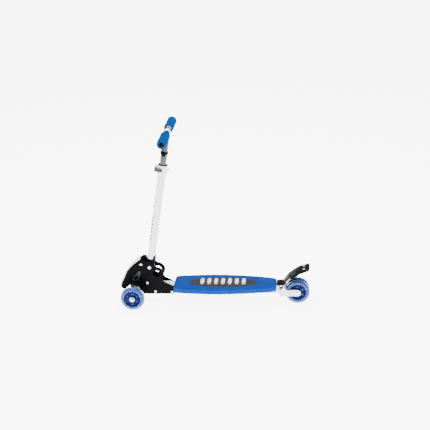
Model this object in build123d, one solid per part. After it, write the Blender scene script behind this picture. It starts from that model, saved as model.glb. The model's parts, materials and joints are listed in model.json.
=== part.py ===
from build123d import *
import os
from math import atan2, cos, degrees, hypot, radians, sin

# A child's lean-to-steer kick scooter: two wheels in front on a tilting truck, twin wheels behind,
# a folding stem with a sliding handlebar, and a press-down rear fender that brakes the twin wheels.
# Millimetres. The model is laid out about the centre of the rear axle, +X to the rear and +Z up,
# and is moved at the end so that its origin is on the floor under the middle of its box.

# ---- driving dimensions ------------------------------------------------------------------------
WHEELBASE = 673.0          # front axle to rear axle
FRONT_TRACK = 168.0        # between the middles of the front wheels
WHEEL_D = 100.0
WHEEL_W = 24.0
REAR_PITCH = 28.6          # between the middles of the twin rear wheels
STEM_LEAN = 10.4           # degrees the stem leans back from upright
BAR_HEIGHT = 582.7         # fold bolt to handlebar, along the stem
BAR_LENGTH = 308.0         # over both grips
DECK_W = 137.0
DECK_H = 22.0              # skirt to rim
DECK_RISE = 34.0           # axle height to the deck's rim
FRAME_GAP = 42.0           # between the two side plates
PLATE_T = 3.0

# ---- sections, walls and stock parts -----------------------------------------------------------
BEAM_H = 36.0
BEAM_WALL = 2.0
DECK_WALL = 5.0
RIB_T = 3.0
RIB_PITCH = 56.0
STEM_R = 15.9
STEM_WALL = 1.8
RISER_R = 12.7
RISER_WALL = 1.5
BAR_R = 11.1
BAR_WALL = 1.5
GRIP_R = 19.0
GRIP_LENGTH = 110.0
FORK_T = 4.0
FORK_H = 27.0
FENDER_T = 3.5
FENDER_SKIRT = 2.2
AXLE_R = 4.0               # M8 axles, kingpin and fold bolt
BOLT_R = 3.0               # M6 plate bolts
HEAD_R = 5.4
HEAD_H = 3.6
BEARING_R = 11.0           # 608 bearing
BEARING_W = 7.0

# ---- clearances --------------------------------------------------------------------------------
RUN = 0.05                 # radial, a shaft turning or sliding in its hole
SIDE = 0.3                 # between flat or curved neighbours that move past each other
FIT = 0.1                  # radial, a bolt in a plain hole

# ---- places that follow from the sizes ---------------------------------------------------------
WHEEL_R = WHEEL_D / 2
FRONT_X = -WHEELBASE
GAP = FRAME_GAP / 2                      # inner face of a side plate
PLATE_OUT = GAP + PLATE_T                # its outer face
NOSE_IN = GAP - PLATE_T                  # inner face of a nose plate, which lies inside the side plate
BEAM_TOP = DECK_RISE - DECK_WALL
BEAM_LOW = BEAM_TOP - BEAM_H
DECK_FRONT = FRONT_X + 165.0
DECK_REAR = -(WHEEL_R + 36.0)
CROSSBAR_X = -(WHEEL_R + 12.0)           # rear face of the fork's crossbar
FORK_IN = REAR_PITCH / 2 + WHEEL_W / 2 + 2.2
FORK_OUT = FORK_IN + FORK_T


def front(dx, dz):
    """A place in side view, measured from the front axle."""
    return (FRONT_X + dx, dz)


LATCH_BOLT = front(34.0, 124.5)
FOLD_BOLT = front(68.4, 111.0)
SPACER_BOLT = front(55.0, 41.0)
BEAM_BOLTS = [front(86.0, 1.5), front(155.5, -0.4)]
EYE = front(96.0, 83.0)
EYE_R = 15.0
EYE_LOBE_R = 30.0
KING_TILT = 41.3                         # degrees the kingpin leans forward
TRUCK_ARM = 19.2                         # kingpin axis to axle


# ---- helpers -----------------------------------------------------------------------------------
def across(face, y0, y1):
    """Extrude a side-view face from y0 to y1."""
    return extrude(Plane.XZ.offset(-y1) * face, amount=y1 - y0)


def rod(place, r, y0, y1):
    """A round bar along Y at a side-view place."""
    return Pos(place[0], (y0 + y1) / 2, place[1]) * Rot(90, 0, 0) * Cylinder(r, y1 - y0)


def tube(r_out, r_in, z0, z1):
    """A round tube along Z."""
    return Pos(0, 0, (z0 + z1) / 2) * (Cylinder(r_out, z1 - z0) - Cylinder(r_in, z1 - z0 + 1))


def ring_y(place, r_out, r_in, y0, y1):
    """A round ring along Y."""
    return rod(place, r_out, y0, y1) - rod(place, r_in, y0 - 1, y1 + 1)


def block(x0, x1, y0, y1, z0, z1):
    return Pos((x0 + x1) / 2, (y0 + y1) / 2, (z0 + z1) / 2) * Box(x1 - x0, y1 - y0, z1 - z0)


def rounded(points):
    """A face inside a closed polygon of (x, z, corner radius) points."""
    path = FilletPolyline([(x, z) for x, z, _ in points], radius=[r for _, _, r in points], close=True)
    return make_face(path)


def strip(start, end, width):
    """A round-ended bar in side view."""
    dx, dz = end[0] - start[0], end[1] - start[1]
    span = hypot(dx, dz)
    middle = Pos((start[0] + end[0]) / 2, (start[1] + end[1]) / 2)
    return middle * Rot(0, 0, degrees(atan2(dz, dx))) * SlotCenterToCenter(span, width)


def both(solid):
    """The solid and its mirror image in the middle plane."""
    return Compound([solid, mirror(solid, about=Plane.XZ)])


def hex_head(r, height):
    """A hexagon head or nut standing on the XY plane."""
    return extrude(RegularPolygon(r, 6), amount=height)


def along_y(solid, x, y, z, outward):
    """Turn a solid that stands on the XY plane so that it stands out along +Y or -Y."""
    return Pos(x, y, z) * Rot(-90 * outward, 0, 0) * solid


parts = {}

# ---- deck --------------------------------------------------------------------------------------
DECK_END = 0.40 * DECK_W                 # half width where the sides meet the front edge
DECK_TAIL = 0.28 * DECK_W                # and the rear edge
DECK_CORNER = 17.0
DECK_EDGE = 3.0                          # rounding of the top edge
SKIRT_T = 4.0
RIM_W = 5.0
RIM_H = 1.2
RIB_RISE = 2.0                           # the ribs stop this far above the skirt's foot
deck_length = DECK_REAR - DECK_FRONT
widest = DECK_FRONT + 0.39 * deck_length


def deck_outline(inset=0.0):
    """The boat-shaped outline of the deck, seen from above."""
    side = ThreePointArc((DECK_FRONT, DECK_END), (widest, DECK_W / 2), (DECK_REAR, DECK_TAIL))
    rear = Line(side @ 1, (DECK_REAR, -DECK_TAIL))
    other = ThreePointArc(rear @ 1, (widest, -DECK_W / 2), (DECK_FRONT, -DECK_END))
    face = make_face([side, rear, other, Line(other @ 1, side @ 0)])
    face = fillet(face.vertices(), DECK_CORNER)
    return offset(face, -inset) if inset else face


PAD_X = (DECK_FRONT + DECK_REAR) / 2 - 9.0
PAD_LENGTH = 284.0
PAD_W = 84.0
PAD_T = 2.6
PAD_STAND = 0.8                          # how far the pad stands out of its recess

deck_top = DECK_RISE - RIM_H
deck = extrude(Pos(0, 0, DECK_RISE - DECK_H) * deck_outline(), amount=DECK_H)
deck = fillet(deck.faces().sort_by(Axis.Z)[-1].edges(), DECK_EDGE)
deck -= extrude(Pos(0, 0, deck_top) * deck_outline(RIM_W), amount=RIM_H + 1)
pocket_h = DECK_H - DECK_WALL + 1
pocket = extrude(Pos(0, 0, DECK_RISE - DECK_H - 1) * deck_outline(SKIRT_T), amount=pocket_h)
rib_count = int(deck_length / RIB_PITCH)
rib_step = deck_length / rib_count
rib_foot = DECK_RISE - DECK_H + RIB_RISE
for i in range(1, rib_count):
    x = DECK_FRONT + i * rib_step
    pocket -= block(x - RIB_T / 2, x + RIB_T / 2, -DECK_W, DECK_W, rib_foot, DECK_RISE)
for side in (-1, 1):
    y = side * (PLATE_OUT + 2.0 + RIB_T / 2)
    pocket -= block(DECK_FRONT, DECK_REAR, y - RIB_T / 2, y + RIB_T / 2, rib_foot, DECK_RISE)
deck -= pocket
deck -= block(DECK_FRONT - 1, DECK_REAR + 1, -PLATE_OUT - FIT, PLATE_OUT + FIT, -DECK_W, BEAM_TOP)
pad_place = Pos(PAD_X, 0, deck_top - PAD_T + PAD_STAND)
deck -= extrude(pad_place * Ellipse(PAD_LENGTH / 2 + FIT, PAD_W / 2 + FIT), amount=PAD_T)
screw_places = [DECK_FRONT + f * deck_length for f in (0.2, 0.8)]
SCREW_R = 2.5
SCREW_BITE = 1.6                         # how far each screw runs into the deck's top wall
screw_top = DECK_RISE - DECK_WALL + SCREW_BITE
for x in screw_places:
    deck -= Pos(x, 0, screw_top / 2) * Cylinder(SCREW_R + FIT, screw_top + FIT)
parts["deck"] = deck

pad = extrude(pad_place * Ellipse(PAD_LENGTH / 2, PAD_W / 2), amount=PAD_T)
parts["deck_pad"] = chamfer(pad.faces().sort_by(Axis.Z)[-1].edges(), 0.6)

# ---- frame beam and rear fork ------------------------------------------------------------------
BEAM_FRONT = front(45.0, 0)[0]
BEAM_CORNER = 3.0
FORK_BACK = 12.0                         # thickness of the crossbar along X
beam_end = CROSSBAR_X - FORK_BACK
beam = block(BEAM_FRONT, beam_end, -GAP, GAP, BEAM_LOW, BEAM_TOP)
beam = fillet(beam.edges().filter_by(Axis.X), BEAM_CORNER)
hollow = block(BEAM_FRONT - 1, beam_end + 1, -GAP + BEAM_WALL, GAP - BEAM_WALL,
               BEAM_LOW + BEAM_WALL, BEAM_TOP - BEAM_WALL)
beam -= fillet(hollow.edges().filter_by(Axis.X), BEAM_CORNER / 2)
for place in BEAM_BOLTS:
    beam -= rod(place, BOLT_R + FIT, -GAP - 1, GAP + 1)
for x in screw_places:
    beam -= Pos(x, 0, 0) * Cylinder(SCREW_R + FIT, 4 * BEAM_H)
parts["frame_beam"] = beam

screw_length = screw_top - BEAM_LOW
screw = hex_head(HEAD_R, HEAD_H)
screw += Pos(0, 0, screw_length / 2 + HEAD_H) * Cylinder(SCREW_R, screw_length)
parts["deck_screws"] = Compound([Pos(x, 0, BEAM_LOW - HEAD_H) * screw for x in screw_places])

arm_end = FORK_H / 2
arm_face = Pos(beam_end / 2, 0) * Rectangle(-beam_end, FORK_H) + Circle(arm_end)
arm = across(arm_face, FORK_IN, FORK_OUT) - rod((0, 0), AXLE_R + FIT, FORK_IN - 1, FORK_OUT + 1)
crossbar = block(beam_end, CROSSBAR_X, -FORK_IN, FORK_IN, -FORK_H / 2, FORK_H / 2)
parts["rear_fork"] = crossbar + arm + mirror(arm, about=Plane.XZ)

# ---- side plates and nose plates ---------------------------------------------------------------
TAIL_X = 173.0
side_points = [(36, -10, 8), (9, 38, 5), (39, 44, 6), (39, 98, 14), (19, 112, 8), (19, 141, 13),
               (70, 138, 14), (101, 110, 6), (121, 47, 20), (165, 26, 9), (TAIL_X, -10, 12)]
side_face = rounded([(FRONT_X + x, z, r) for x, z, r in side_points])
side_face += Pos(*EYE) * Circle(EYE_LOBE_R)
side_face -= Pos(*EYE) * Circle(EYE_R)
for place in [LATCH_BOLT, SPACER_BOLT] + BEAM_BOLTS:
    side_face -= Pos(*place) * Circle(BOLT_R + FIT)
side_face -= Pos(*FOLD_BOLT) * Circle(AXLE_R + FIT)
side_right = across(side_face, GAP, PLATE_OUT)
parts["side_plate_right"] = side_right
parts["side_plate_left"] = mirror(side_right, about=Plane.XZ)

nose_curve = ThreePointArc(front(33, 145), front(-24, 90), front(-56, 30))
nose_toe = ThreePointArc(nose_curve @ 1, front(-53, 14), front(-41, 10))
nose_back = Polyline(front(-41, 10), front(-17, 32), front(67, 32), front(67, 55), front(45, 75),
                     front(45, 145), front(33, 145))
nose_face = make_face([nose_curve, nose_toe, nose_back])
nose_face -= rounded([(*front(30, 101), 6), (*front(-17, 50), 7), (*front(33, 47), 6)])
for place in [LATCH_BOLT, SPACER_BOLT]:
    nose_face -= Pos(*place) * Circle(BOLT_R + FIT)
nose_right = across(nose_face, NOSE_IN, GAP)
parts["nose_plate_right"] = nose_right
parts["nose_plate_left"] = mirror(nose_right, about=Plane.XZ)

COVER_T = 3.0
cover_out = ThreePointArc(front(29, 147), front(-22, 103), front(-61, 26))
cover_in = ThreePointArc(front(29 + COVER_T / 2, 147 - COVER_T),
                         front(-22 + COVER_T * 0.77, 103 - COVER_T * 0.64),
                         front(-61 + COVER_T, 26 + COVER_T / 4))
cover_ends = [Line(cover_out @ 1, cover_in @ 1), Line(cover_in @ 0, cover_out @ 0)]
cover_face = make_face([cover_out, cover_in, *cover_ends])
parts["nose_cover"] = across(cover_face, -NOSE_IN + FIT, NOSE_IN - FIT)

# ---- plate hardware ----------------------------------------------------------------------------
LATCH_W = 18.0
FOLD_HEAD_R = 7.4
FOLD_HEAD_H = 5.0
LATCH_SPACER_R = 6.0
BOLT_SPACER_R = 7.0


def cross_bolt(place, r, head_r, head_h):
    """A bolt right through the plates, with a domed head at the left and a nut at the right."""
    solid = rod(place, r, -PLATE_OUT - 0.5, PLATE_OUT + head_h)
    dome = extrude(Circle(head_r), amount=head_h)
    dome = fillet(dome.faces().sort_by(Axis.Z)[-1].edges(), head_h * 0.55)
    solid += along_y(dome, place[0], -PLATE_OUT, place[1], -1)
    solid += along_y(hex_head(head_r, head_h), place[0], PLATE_OUT, place[1], 1)
    return solid


plate_bolts = [cross_bolt(place, BOLT_R, HEAD_R, HEAD_H)
               for place in [LATCH_BOLT, SPACER_BOLT] + BEAM_BOLTS]
parts["plate_bolts"] = Compound(plate_bolts)
parts["fold_bolt"] = cross_bolt(FOLD_BOLT, AXLE_R, FOLD_HEAD_R, FOLD_HEAD_H)

latch_side = ring_y(LATCH_BOLT, LATCH_SPACER_R, BOLT_R + FIT, LATCH_W / 2 + SIDE, NOSE_IN)
parts["plate_spacers"] = Compound([
    ring_y(SPACER_BOLT, BOLT_SPACER_R, BOLT_R + FIT, -NOSE_IN, NOSE_IN),
    latch_side, mirror(latch_side, about=Plane.XZ)])

# ---- truck: bracket, kingpin and rubbers on the frame, hanger and axle that tilt and steer -----
tilt = radians(KING_TILT)
truck_frame = Plane(origin=(FRONT_X + TRUCK_ARM * cos(tilt), 0, TRUCK_ARM * sin(tilt)),
                    x_dir=(-cos(tilt), 0, -sin(tilt)), z_dir=(-sin(tilt), 0, cos(tilt)))
HANGER_R = 12.5
HANGER_LOW = -8.0
HANGER_TOP = 6.0
RUBBER_H = 10.0
RUBBER_R = 11.0
BRACKET_T = 4.0
BRACKET_IN = NOSE_IN - 3.0
BRACKET_STRIP = 9.0                      # width of the strips that the bracket's cheeks are cut to
BRIDGE_L = 32.0
NUT_R = 7.2                              # M8 heads and nuts, over the corners
KING_WASHER_R = 9.5
KING_WASHER_T = 1.8
seat = HANGER_TOP + RUBBER_H + 2 * FIT

cheek_runs = [((26, 90), (-13, 58)), ((26, 90), (13, 42)), ((-13, 58), (-13, 20)), ((-13, 20), (15, 42))]
cheek_face = Sketch() + [strip(front(*a), front(*b), BRACKET_STRIP) for a, b in cheek_runs]
cheek = across(cheek_face, BRACKET_IN, NOSE_IN)
bridge = truck_frame * (Pos(0, 0, seat + BRACKET_T / 2) * Box(BRIDGE_L, 2 * NOSE_IN, BRACKET_T))
bridge -= truck_frame * Cylinder(AXLE_R + FIT, 200)
parts["truck_bracket"] = bridge + cheek + mirror(cheek, about=Plane.XZ)

rubber_low = HANGER_LOW - RUBBER_H - FIT
king_head = rubber_low - KING_WASHER_T - FIT
king_seat = seat + BRACKET_T
king_top = king_seat + 9.0
kingpin = Pos(0, 0, (king_head + king_top) / 2) * Cylinder(AXLE_R, king_top - king_head)
kingpin += Pos(0, 0, king_head - 5.0) * hex_head(NUT_R, 5.0)
kingpin += Pos(0, 0, king_head + KING_WASHER_T / 2) * Cylinder(KING_WASHER_R, KING_WASHER_T)
kingpin += Pos(0, 0, king_seat) * hex_head(NUT_R, 6.5)
kingpin += Pos(0, 0, king_seat + KING_WASHER_T / 3) * Cylinder(KING_WASHER_R, KING_WASHER_T * 2 / 3)
parts["kingpin"] = truck_frame * kingpin


def rubber(z0):
    solid = tube(RUBBER_R, AXLE_R + FIT, z0, z0 + RUBBER_H)
    return fillet(solid.edges().filter_by(GeomType.CIRCLE).group_by(SortBy.RADIUS)[-1], 2.0)


parts["truck_rubbers"] = truck_frame * Compound([rubber(rubber_low), rubber(HANGER_TOP + FIT)])

wheel_in = FRONT_TRACK / 2 - WHEEL_W / 2
hanger_end = wheel_in - 1.5
AXLE_TUBE_R = 10.0
hanger_h = HANGER_TOP - HANGER_LOW
hanger = truck_frame * Pos(0, 0, HANGER_LOW + hanger_h / 2) * Cylinder(HANGER_R, hanger_h)
hanger += truck_frame * block(0, TRUCK_ARM, -HANGER_R, HANGER_R, HANGER_LOW, HANGER_TOP)
hanger += rod((FRONT_X, 0), AXLE_TUBE_R, -hanger_end, hanger_end)
FLARE_L = 16.0
for side in (-1, 1):
    flare = Cone(AXLE_TUBE_R + 2.4, AXLE_TUBE_R, FLARE_L)
    hanger += Pos(FRONT_X, side * (HANGER_R + 7), 0) * Rot(90 * side, 0, 0) * flare
hanger -= truck_frame * Cylinder(AXLE_R + RUN, 200)
hanger -= rod((FRONT_X, 0), AXLE_R + FIT, -FRONT_TRACK, FRONT_TRACK)
parts["truck_hanger"] = hanger

nut_face = FRONT_TRACK / 2 + WHEEL_W / 2 + 0.5
AXLE_NUT = 8.0
axle_end = nut_face + AXLE_NUT + 1.5
parts["front_axle"] = rod((FRONT_X, 0), AXLE_R, -axle_end, axle_end)


def lock_nut(x, y, outward):
    """A nut with a nylon ring at its outer end."""
    nut = hex_head(NUT_R, AXLE_NUT * 0.75) + Pos(0, 0, AXLE_NUT / 2) * Cylinder(5.9, AXLE_NUT)
    nut -= Cylinder(AXLE_R + FIT / 2, 4 * AXLE_NUT)
    return along_y(nut, x, outward * y, 0, outward)


parts["front_axle_nuts"] = Compound([lock_nut(FRONT_X, nut_face, side) for side in (-1, 1)])

# ---- wheels ------------------------------------------------------------------------------------
CORE_R = 34.5
CORE_W = WHEEL_W - 3.0
WEB_W = 12.0
HUB_R = 14.5
RIM_R = CORE_R - 5.0
SHOULDER_R = 9.0                         # rounding of the tyre's tread edge
CORE_BORE_R = 8.0
WINDOW_R = 4.0
BEARING_IN = WHEEL_W / 2 - 0.5 - BEARING_W


def radial(r0, r1, width):
    """A rectangular ring section about the Y axis."""
    return Pos((r0 + r1) / 2, 0) * Rectangle(r1 - r0, width)


def wheel(name, x, y):
    """One wheel: a clear tyre, a tinted core with six windows, and two bearings."""
    tyre_face = radial(CORE_R, WHEEL_R, WHEEL_W)
    tyre_face = fillet(tyre_face.vertices().group_by(Axis.X)[-1], SHOULDER_R)
    tyre_face = fillet(tyre_face.vertices().group_by(Axis.X)[0], 2.0)
    tyre = revolve(tyre_face, Axis.Y)
    core_face = radial(CORE_BORE_R, HUB_R, WHEEL_W) + radial(HUB_R, RIM_R, WEB_W)
    core = revolve(core_face + radial(RIM_R, CORE_R, CORE_W), Axis.Y)
    seat_right = rod((0, 0), BEARING_R, BEARING_IN, WHEEL_W)
    core = core - seat_right - mirror(seat_right, about=Plane.XZ)
    window = (HUB_R + RIM_R) / 2
    for spoke in PolarLocations(window, 6):
        core -= Rot(90, 0, 0) * spoke * Cylinder(WINDOW_R, WHEEL_W)
    bearing = ring_y((0, 0), BEARING_R, AXLE_R + RUN, BEARING_IN, BEARING_IN + BEARING_W)
    spot = Pos(x, y, 0)
    parts[name + "_tyre"] = spot * tyre
    parts[name + "_core"] = spot * core
    parts[name + "_bearings"] = spot * both(bearing)


for side, word in ((-1, "left"), (1, "right")):
    wheel("front_" + word, FRONT_X, side * FRONT_TRACK / 2)
    wheel("rear_" + word, 0.0, side * REAR_PITCH / 2)

SPACER_R = 5.6


def inner_spacer(x, y):
    """The tube between the two bearings of one wheel."""
    return ring_y((x, 0), SPACER_R, AXLE_R + FIT, y - BEARING_IN + FIT, y + BEARING_IN - FIT)


end_washer = ring_y((FRONT_X, 0), SPACER_R, AXLE_R + FIT, hanger_end, wheel_in + 0.4)
parts["front_spacers"] = Compound([
    inner_spacer(FRONT_X, -FRONT_TRACK / 2), inner_spacer(FRONT_X, FRONT_TRACK / 2),
    end_washer, mirror(end_washer, about=Plane.XZ)])

pair_gap = REAR_PITCH / 2 - WHEEL_W / 2 + 0.4
rear_washer = ring_y((0, 0), SPACER_R, AXLE_R + FIT, FORK_IN - 2.6, FORK_IN)
parts["rear_spacers"] = Compound([
    inner_spacer(0, -REAR_PITCH / 2), inner_spacer(0, REAR_PITCH / 2),
    ring_y((0, 0), SPACER_R, AXLE_R + FIT, -pair_gap, pair_gap),
    rear_washer, mirror(rear_washer, about=Plane.XZ)])
axle_head = extrude(Circle(7.6), amount=4.2)
axle_head = fillet(axle_head.faces().sort_by(Axis.Z)[-1].edges(), 2.0)
rear_axle = rod((0, 0), AXLE_R, -FORK_OUT - 0.5, FORK_OUT + AXLE_NUT)
rear_axle += along_y(axle_head, 0, -FORK_OUT, 0, -1) + along_y(hex_head(NUT_R, 6.5), 0, FORK_OUT, 0, 1)
parts["rear_axle"] = rear_axle

# ---- stem, in its own frame: Z along the stem from the fold bolt, X to the rear ----------------
stem_frame = Pos(FOLD_BOLT[0], 0, FOLD_BOLT[1]) * Rot(0, STEM_LEAN, 0)
SOCKET_R = max(GAP - 1.5, STEM_R + 1.0)  # stays clear of the side plates
SOCKET_TOP = 33.0
TONGUE_TOP = 48.0
TUBE_FOOT = 12.0
COLLAR_H = 37.0
TUBE_TOP = BAR_HEIGHT - 136.0
COLLAR_LOW = TUBE_TOP - COLLAR_H + 1.5
COLLAR_R = 20.2
HOLE_R = 3.1
HOLE_PITCH = 16.45
HOLE_COUNT = 7
NOTCH = 41.0                             # down from the button's top hole to the first of the row
BUTTON_Z = TUBE_TOP - 183.5
button_holes = [BUTTON_Z] + [BUTTON_Z - NOTCH - i * HOLE_PITCH for i in range(HOLE_COUNT)]

socket = Cylinder(SOCKET_R, SOCKET_TOP, align=(Align.CENTER, Align.CENTER, Align.MIN))
socket += rod((0, 0), 17.5, -GAP + SIDE, GAP - SIDE)
tongue = tube(SOCKET_R, STEM_R, SOCKET_TOP - 1, TONGUE_TOP)
socket += tongue & block(SOCKET_R / 2, 40, -40, 40, 0, 2 * TONGUE_TOP)
socket -= Pos(0, 0, TUBE_FOOT + 100) * Cylinder(STEM_R, 200)
socket -= rod((0, 0), AXLE_R + RUN, -40, 40)
parts["stem_socket"] = stem_frame * socket

stem = tube(STEM_R, STEM_R - STEM_WALL, TUBE_FOOT, TUBE_TOP)
for z in button_holes:
    stem -= Pos(-STEM_R, 0, z) * Rot(0, 90, 0) * Cylinder(HOLE_R, 12)
stem -= block(-STEM_R - 2, 0, -1.0, 1.0, COLLAR_LOW + 3, TUBE_TOP + 1)
parts["stem_tube"] = stem_frame * stem

rivet_z = TONGUE_TOP - 1.0
RIVET_STAND = 1.6
rivet = Pos(0, 0, RIVET_STAND / 2) * Cylinder(3.2, RIVET_STAND)
rivet = fillet(rivet.faces().sort_by(Axis.Z)[-1].edges(), 1.1)
parts["stem_rivet"] = stem_frame * along_y(rivet, 0, -STEM_R, rivet_z, -1)

SLEEVE_FLANGE = 2.4
sleeve = tube(STEM_R - STEM_WALL - FIT, RISER_R + RUN, TUBE_TOP - 70, TUBE_TOP)
sleeve += tube(COLLAR_R - 2.2, RISER_R + RUN, TUBE_TOP + FIT, TUBE_TOP + SLEEVE_FLANGE)
sleeve += tube(STEM_R - STEM_WALL - FIT, RISER_R + RUN, TUBE_TOP - 1, TUBE_TOP + 1)
parts["riser_sleeve"] = stem_frame * sleeve

SKEWER_X = -(COLLAR_R + 4.2)
SKEWER_R = 2.5
SKEWER_Z = COLLAR_LOW + COLLAR_H / 2
EAR_OUT = 7.5
LEVER_PIVOT_Y = -(EAR_OUT + 11.5)
CAM_R = 6.5
EAR_H = 22.0
ear = block(SKEWER_X - 6, -STEM_R - 1, -EAR_OUT, EAR_OUT, SKEWER_Z - EAR_H / 2, SKEWER_Z + EAR_H / 2)
ear = fillet(ear.edges().filter_by(Axis.Y).group_by(Axis.X)[0], 5.0)
collar = tube(COLLAR_R, STEM_R, COLLAR_LOW, COLLAR_LOW + COLLAR_H - 1.5) + ear
lug = block(STEM_R + 1, COLLAR_R + 7, -3, 3, SKEWER_Z - 7, SKEWER_Z + 7)
collar += fillet(lug.edges().filter_by(Axis.Y).group_by(Axis.X)[-1], 4.0) - \
    Pos(COLLAR_R + 2.4, 0, SKEWER_Z) * Rot(90, 0, 0) * Cylinder(2.2, 20)
collar -= Pos(0, 0, SKEWER_Z) * Cylinder(STEM_R, 3 * COLLAR_H)
collar -= block(-60, 0, -1.5, 1.5, 0, 2 * TUBE_TOP)
collar -= Pos(SKEWER_X, 0, SKEWER_Z) * Rot(90, 0, 0) * Cylinder(SKEWER_R + FIT, 60)
parts["clamp_collar"] = stem_frame * collar

PIN_R = 3.0
KNOB_R = 5.4
KNOB_W = 7.0
cup = Pos(SKEWER_X, -EAR_OUT - 2.2, SKEWER_Z) * Rot(90, 0, 0) * Cylinder(5.2, 4.4)
skewer_end = EAR_OUT + KNOB_W
skewer = Pos(SKEWER_X, (LEVER_PIVOT_Y + skewer_end) / 2, SKEWER_Z) * Rot(90, 0, 0) * \
    Cylinder(SKEWER_R, skewer_end - LEVER_PIVOT_Y)
skewer += Pos(SKEWER_X, LEVER_PIVOT_Y, SKEWER_Z) * Cylinder(PIN_R, 13)
skewer += cup
parts["clamp_skewer"] = stem_frame * skewer
knob = Cylinder(KNOB_R, KNOB_W) - Cylinder(SKEWER_R + FIT, 2 * KNOB_W)
parts["clamp_knob"] = stem_frame * Pos(SKEWER_X, EAR_OUT + KNOB_W / 2, SKEWER_Z) * Rot(90, 0, 0) * knob

LEVER_LENGTH = 27.0
LEVER_T = 4.5
LEVER_H = 14.0
slot = SKEWER_R + SIDE                   # half the slot that the lever swings past the skewer with
arm_y = -CAM_R + LEVER_T / 2
lever = Cylinder(CAM_R, LEVER_H) + Pos(LEVER_LENGTH / 2, arm_y, 0) * Box(LEVER_LENGTH, LEVER_T, LEVER_H)
lever -= block(-2 * CAM_R, 0, -2 * CAM_R, 2 * CAM_R, -slot, slot)
lever -= block(-1, slot, 0, 2 * CAM_R, -slot, slot)
lever -= Cylinder(PIN_R + RUN, 2 * LEVER_H)
lever = fillet(lever.edges().filter_by(Axis.Y).group_by(Axis.X)[-1], 5.0)
parts["clamp_lever"] = stem_frame * Pos(SKEWER_X, LEVER_PIVOT_Y, SKEWER_Z) * lever

# ---- fold latch: pivots on the front bolt, thumb pad in front of the stem's foot ---------------
LATCH_ARM_W = 11.0
THUMB_W = 15.0
THUMB_T = 4.5
ax, az = LATCH_BOLT
latch_face = strip((ax + 1, az + 1), (ax + 14.0, az + 18.0), 8.0)
latch_face += strip((ax + 14.0, az + 18.0), (ax + 15.5, az + 28.0), 7.0)
latch = across(latch_face, -LATCH_ARM_W / 2, LATCH_ARM_W / 2)
latch += rod(LATCH_BOLT, LATCH_W / 2, -LATCH_W / 2, LATCH_W / 2)
thumb = Pos(ax + 14.5, 0, az + 30.0) * Box(17.0, THUMB_W, THUMB_T)
thumb = fillet(thumb.edges().filter_by(Axis.Z), 4.0)
latch += fillet(thumb.faces().sort_by(Axis.Z)[-1].edges(), 1.6)
latch -= rod(LATCH_BOLT, BOLT_R + RUN, -40, 40)
latch -= stem_frame * Cylinder(SOCKET_R + SIDE, 2 * SOCKET_TOP + 0.8)
latch -= stem_frame * Cylinder(STEM_R + SIDE, 300)
parts["fold_latch"] = latch.solids().sort_by(SortBy.VOLUME)[-1]

# ---- riser and handlebar -----------------------------------------------------------------------
RISER_FOOT = BUTTON_Z - 33.0
CLIP_Z = TUBE_TOP + 45.2
CLIP_H = 12.0
CLIP_WALL = 2.6
BAR_BUTTON_Z = CLIP_Z + CLIP_H + 7.0
riser = tube(RISER_R, RISER_R - RISER_WALL, RISER_FOOT, BAR_HEIGHT - BAR_R + 2.0)
for z in (BUTTON_Z, BAR_BUTTON_Z):
    riser -= Pos(-RISER_R, 0, z) * Rot(0, 90, 0) * Cylinder(HOLE_R, 12)
riser -= Pos(0, 0, BAR_HEIGHT) * Rot(90, 0, 0) * Cylinder(BAR_R, 100)
parts["riser_tube"] = stem_frame * riser

CENTRE_HALF = BAR_LENGTH / 2 - GRIP_LENGTH - 1.2
LUG_LOW = 17.0
centre = Pos(0, 0, BAR_HEIGHT) * Rot(90, 0, 0) * Cylinder(BAR_R, 2 * CENTRE_HALF)
centre += Pos(0, 0, BAR_HEIGHT - LUG_LOW / 2) * Cylinder(RISER_R + 2.0, LUG_LOW)
riser_room = Pos(0, 0, BAR_HEIGHT - 50 - BAR_R + 2.0) * Cylinder(RISER_R, 100)
centre -= riser_room - Pos(0, 0, BAR_HEIGHT) * Rot(90, 0, 0) * Cylinder(BAR_R, 100)
centre -= Pos(0, 0, BAR_HEIGHT) * Rot(90, 0, 0) * Cylinder(BAR_R - BAR_WALL, 200)
parts["bar_centre"] = stem_frame * centre


def at_bar(y0, y1, r_out, r_in):
    """A ring round the handlebar's axis."""
    ring = Cylinder(r_out, y1 - y0)
    if r_in:
        ring -= Cylinder(r_in, y1 - y0 + 1)
    return Pos(0, (y0 + y1) / 2, BAR_HEIGHT) * Rot(90, 0, 0) * ring


RING_Y = 20.0
parts["bar_rings"] = stem_frame * both(at_bar(RING_Y, RING_Y + 7.0, BAR_R + 2.6, BAR_R))

HANDLE_R = BAR_R - BAR_WALL - RUN
HANDLE_BORE_R = HANDLE_R - BAR_WALL
GRIP_EDGE = 5.0
INSERT = 32.0
PLUG_IN = 14.0
PLUG_CAP = 3.0
handle_in = CENTRE_HALF - INSERT
grip_in = CENTRE_HALF + SIDE
grip_out = BAR_LENGTH / 2 - 1.0
for side, word in ((-1, "left"), (1, "right")):
    handle = at_bar(handle_in, grip_out - PLUG_CAP, HANDLE_R, HANDLE_BORE_R)
    grip = at_bar(grip_in, grip_out, GRIP_R, HANDLE_R)
    grip = fillet(grip.edges().filter_by(GeomType.CIRCLE).group_by(SortBy.RADIUS)[-1], GRIP_EDGE)
    cap_in = grip_out - PLUG_CAP + FIT
    plug = at_bar(grip_out - PLUG_IN, cap_in, HANDLE_BORE_R, 0)
    plug += at_bar(cap_in, BAR_LENGTH / 2, HANDLE_R - FIT, 0)
    for name, solid in (("handle_", handle), ("grip_", grip), ("end_plug_", plug)):
        if side < 0:
            solid = mirror(solid, about=Plane.XZ)
        parts[name + word] = stem_frame * solid

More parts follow.
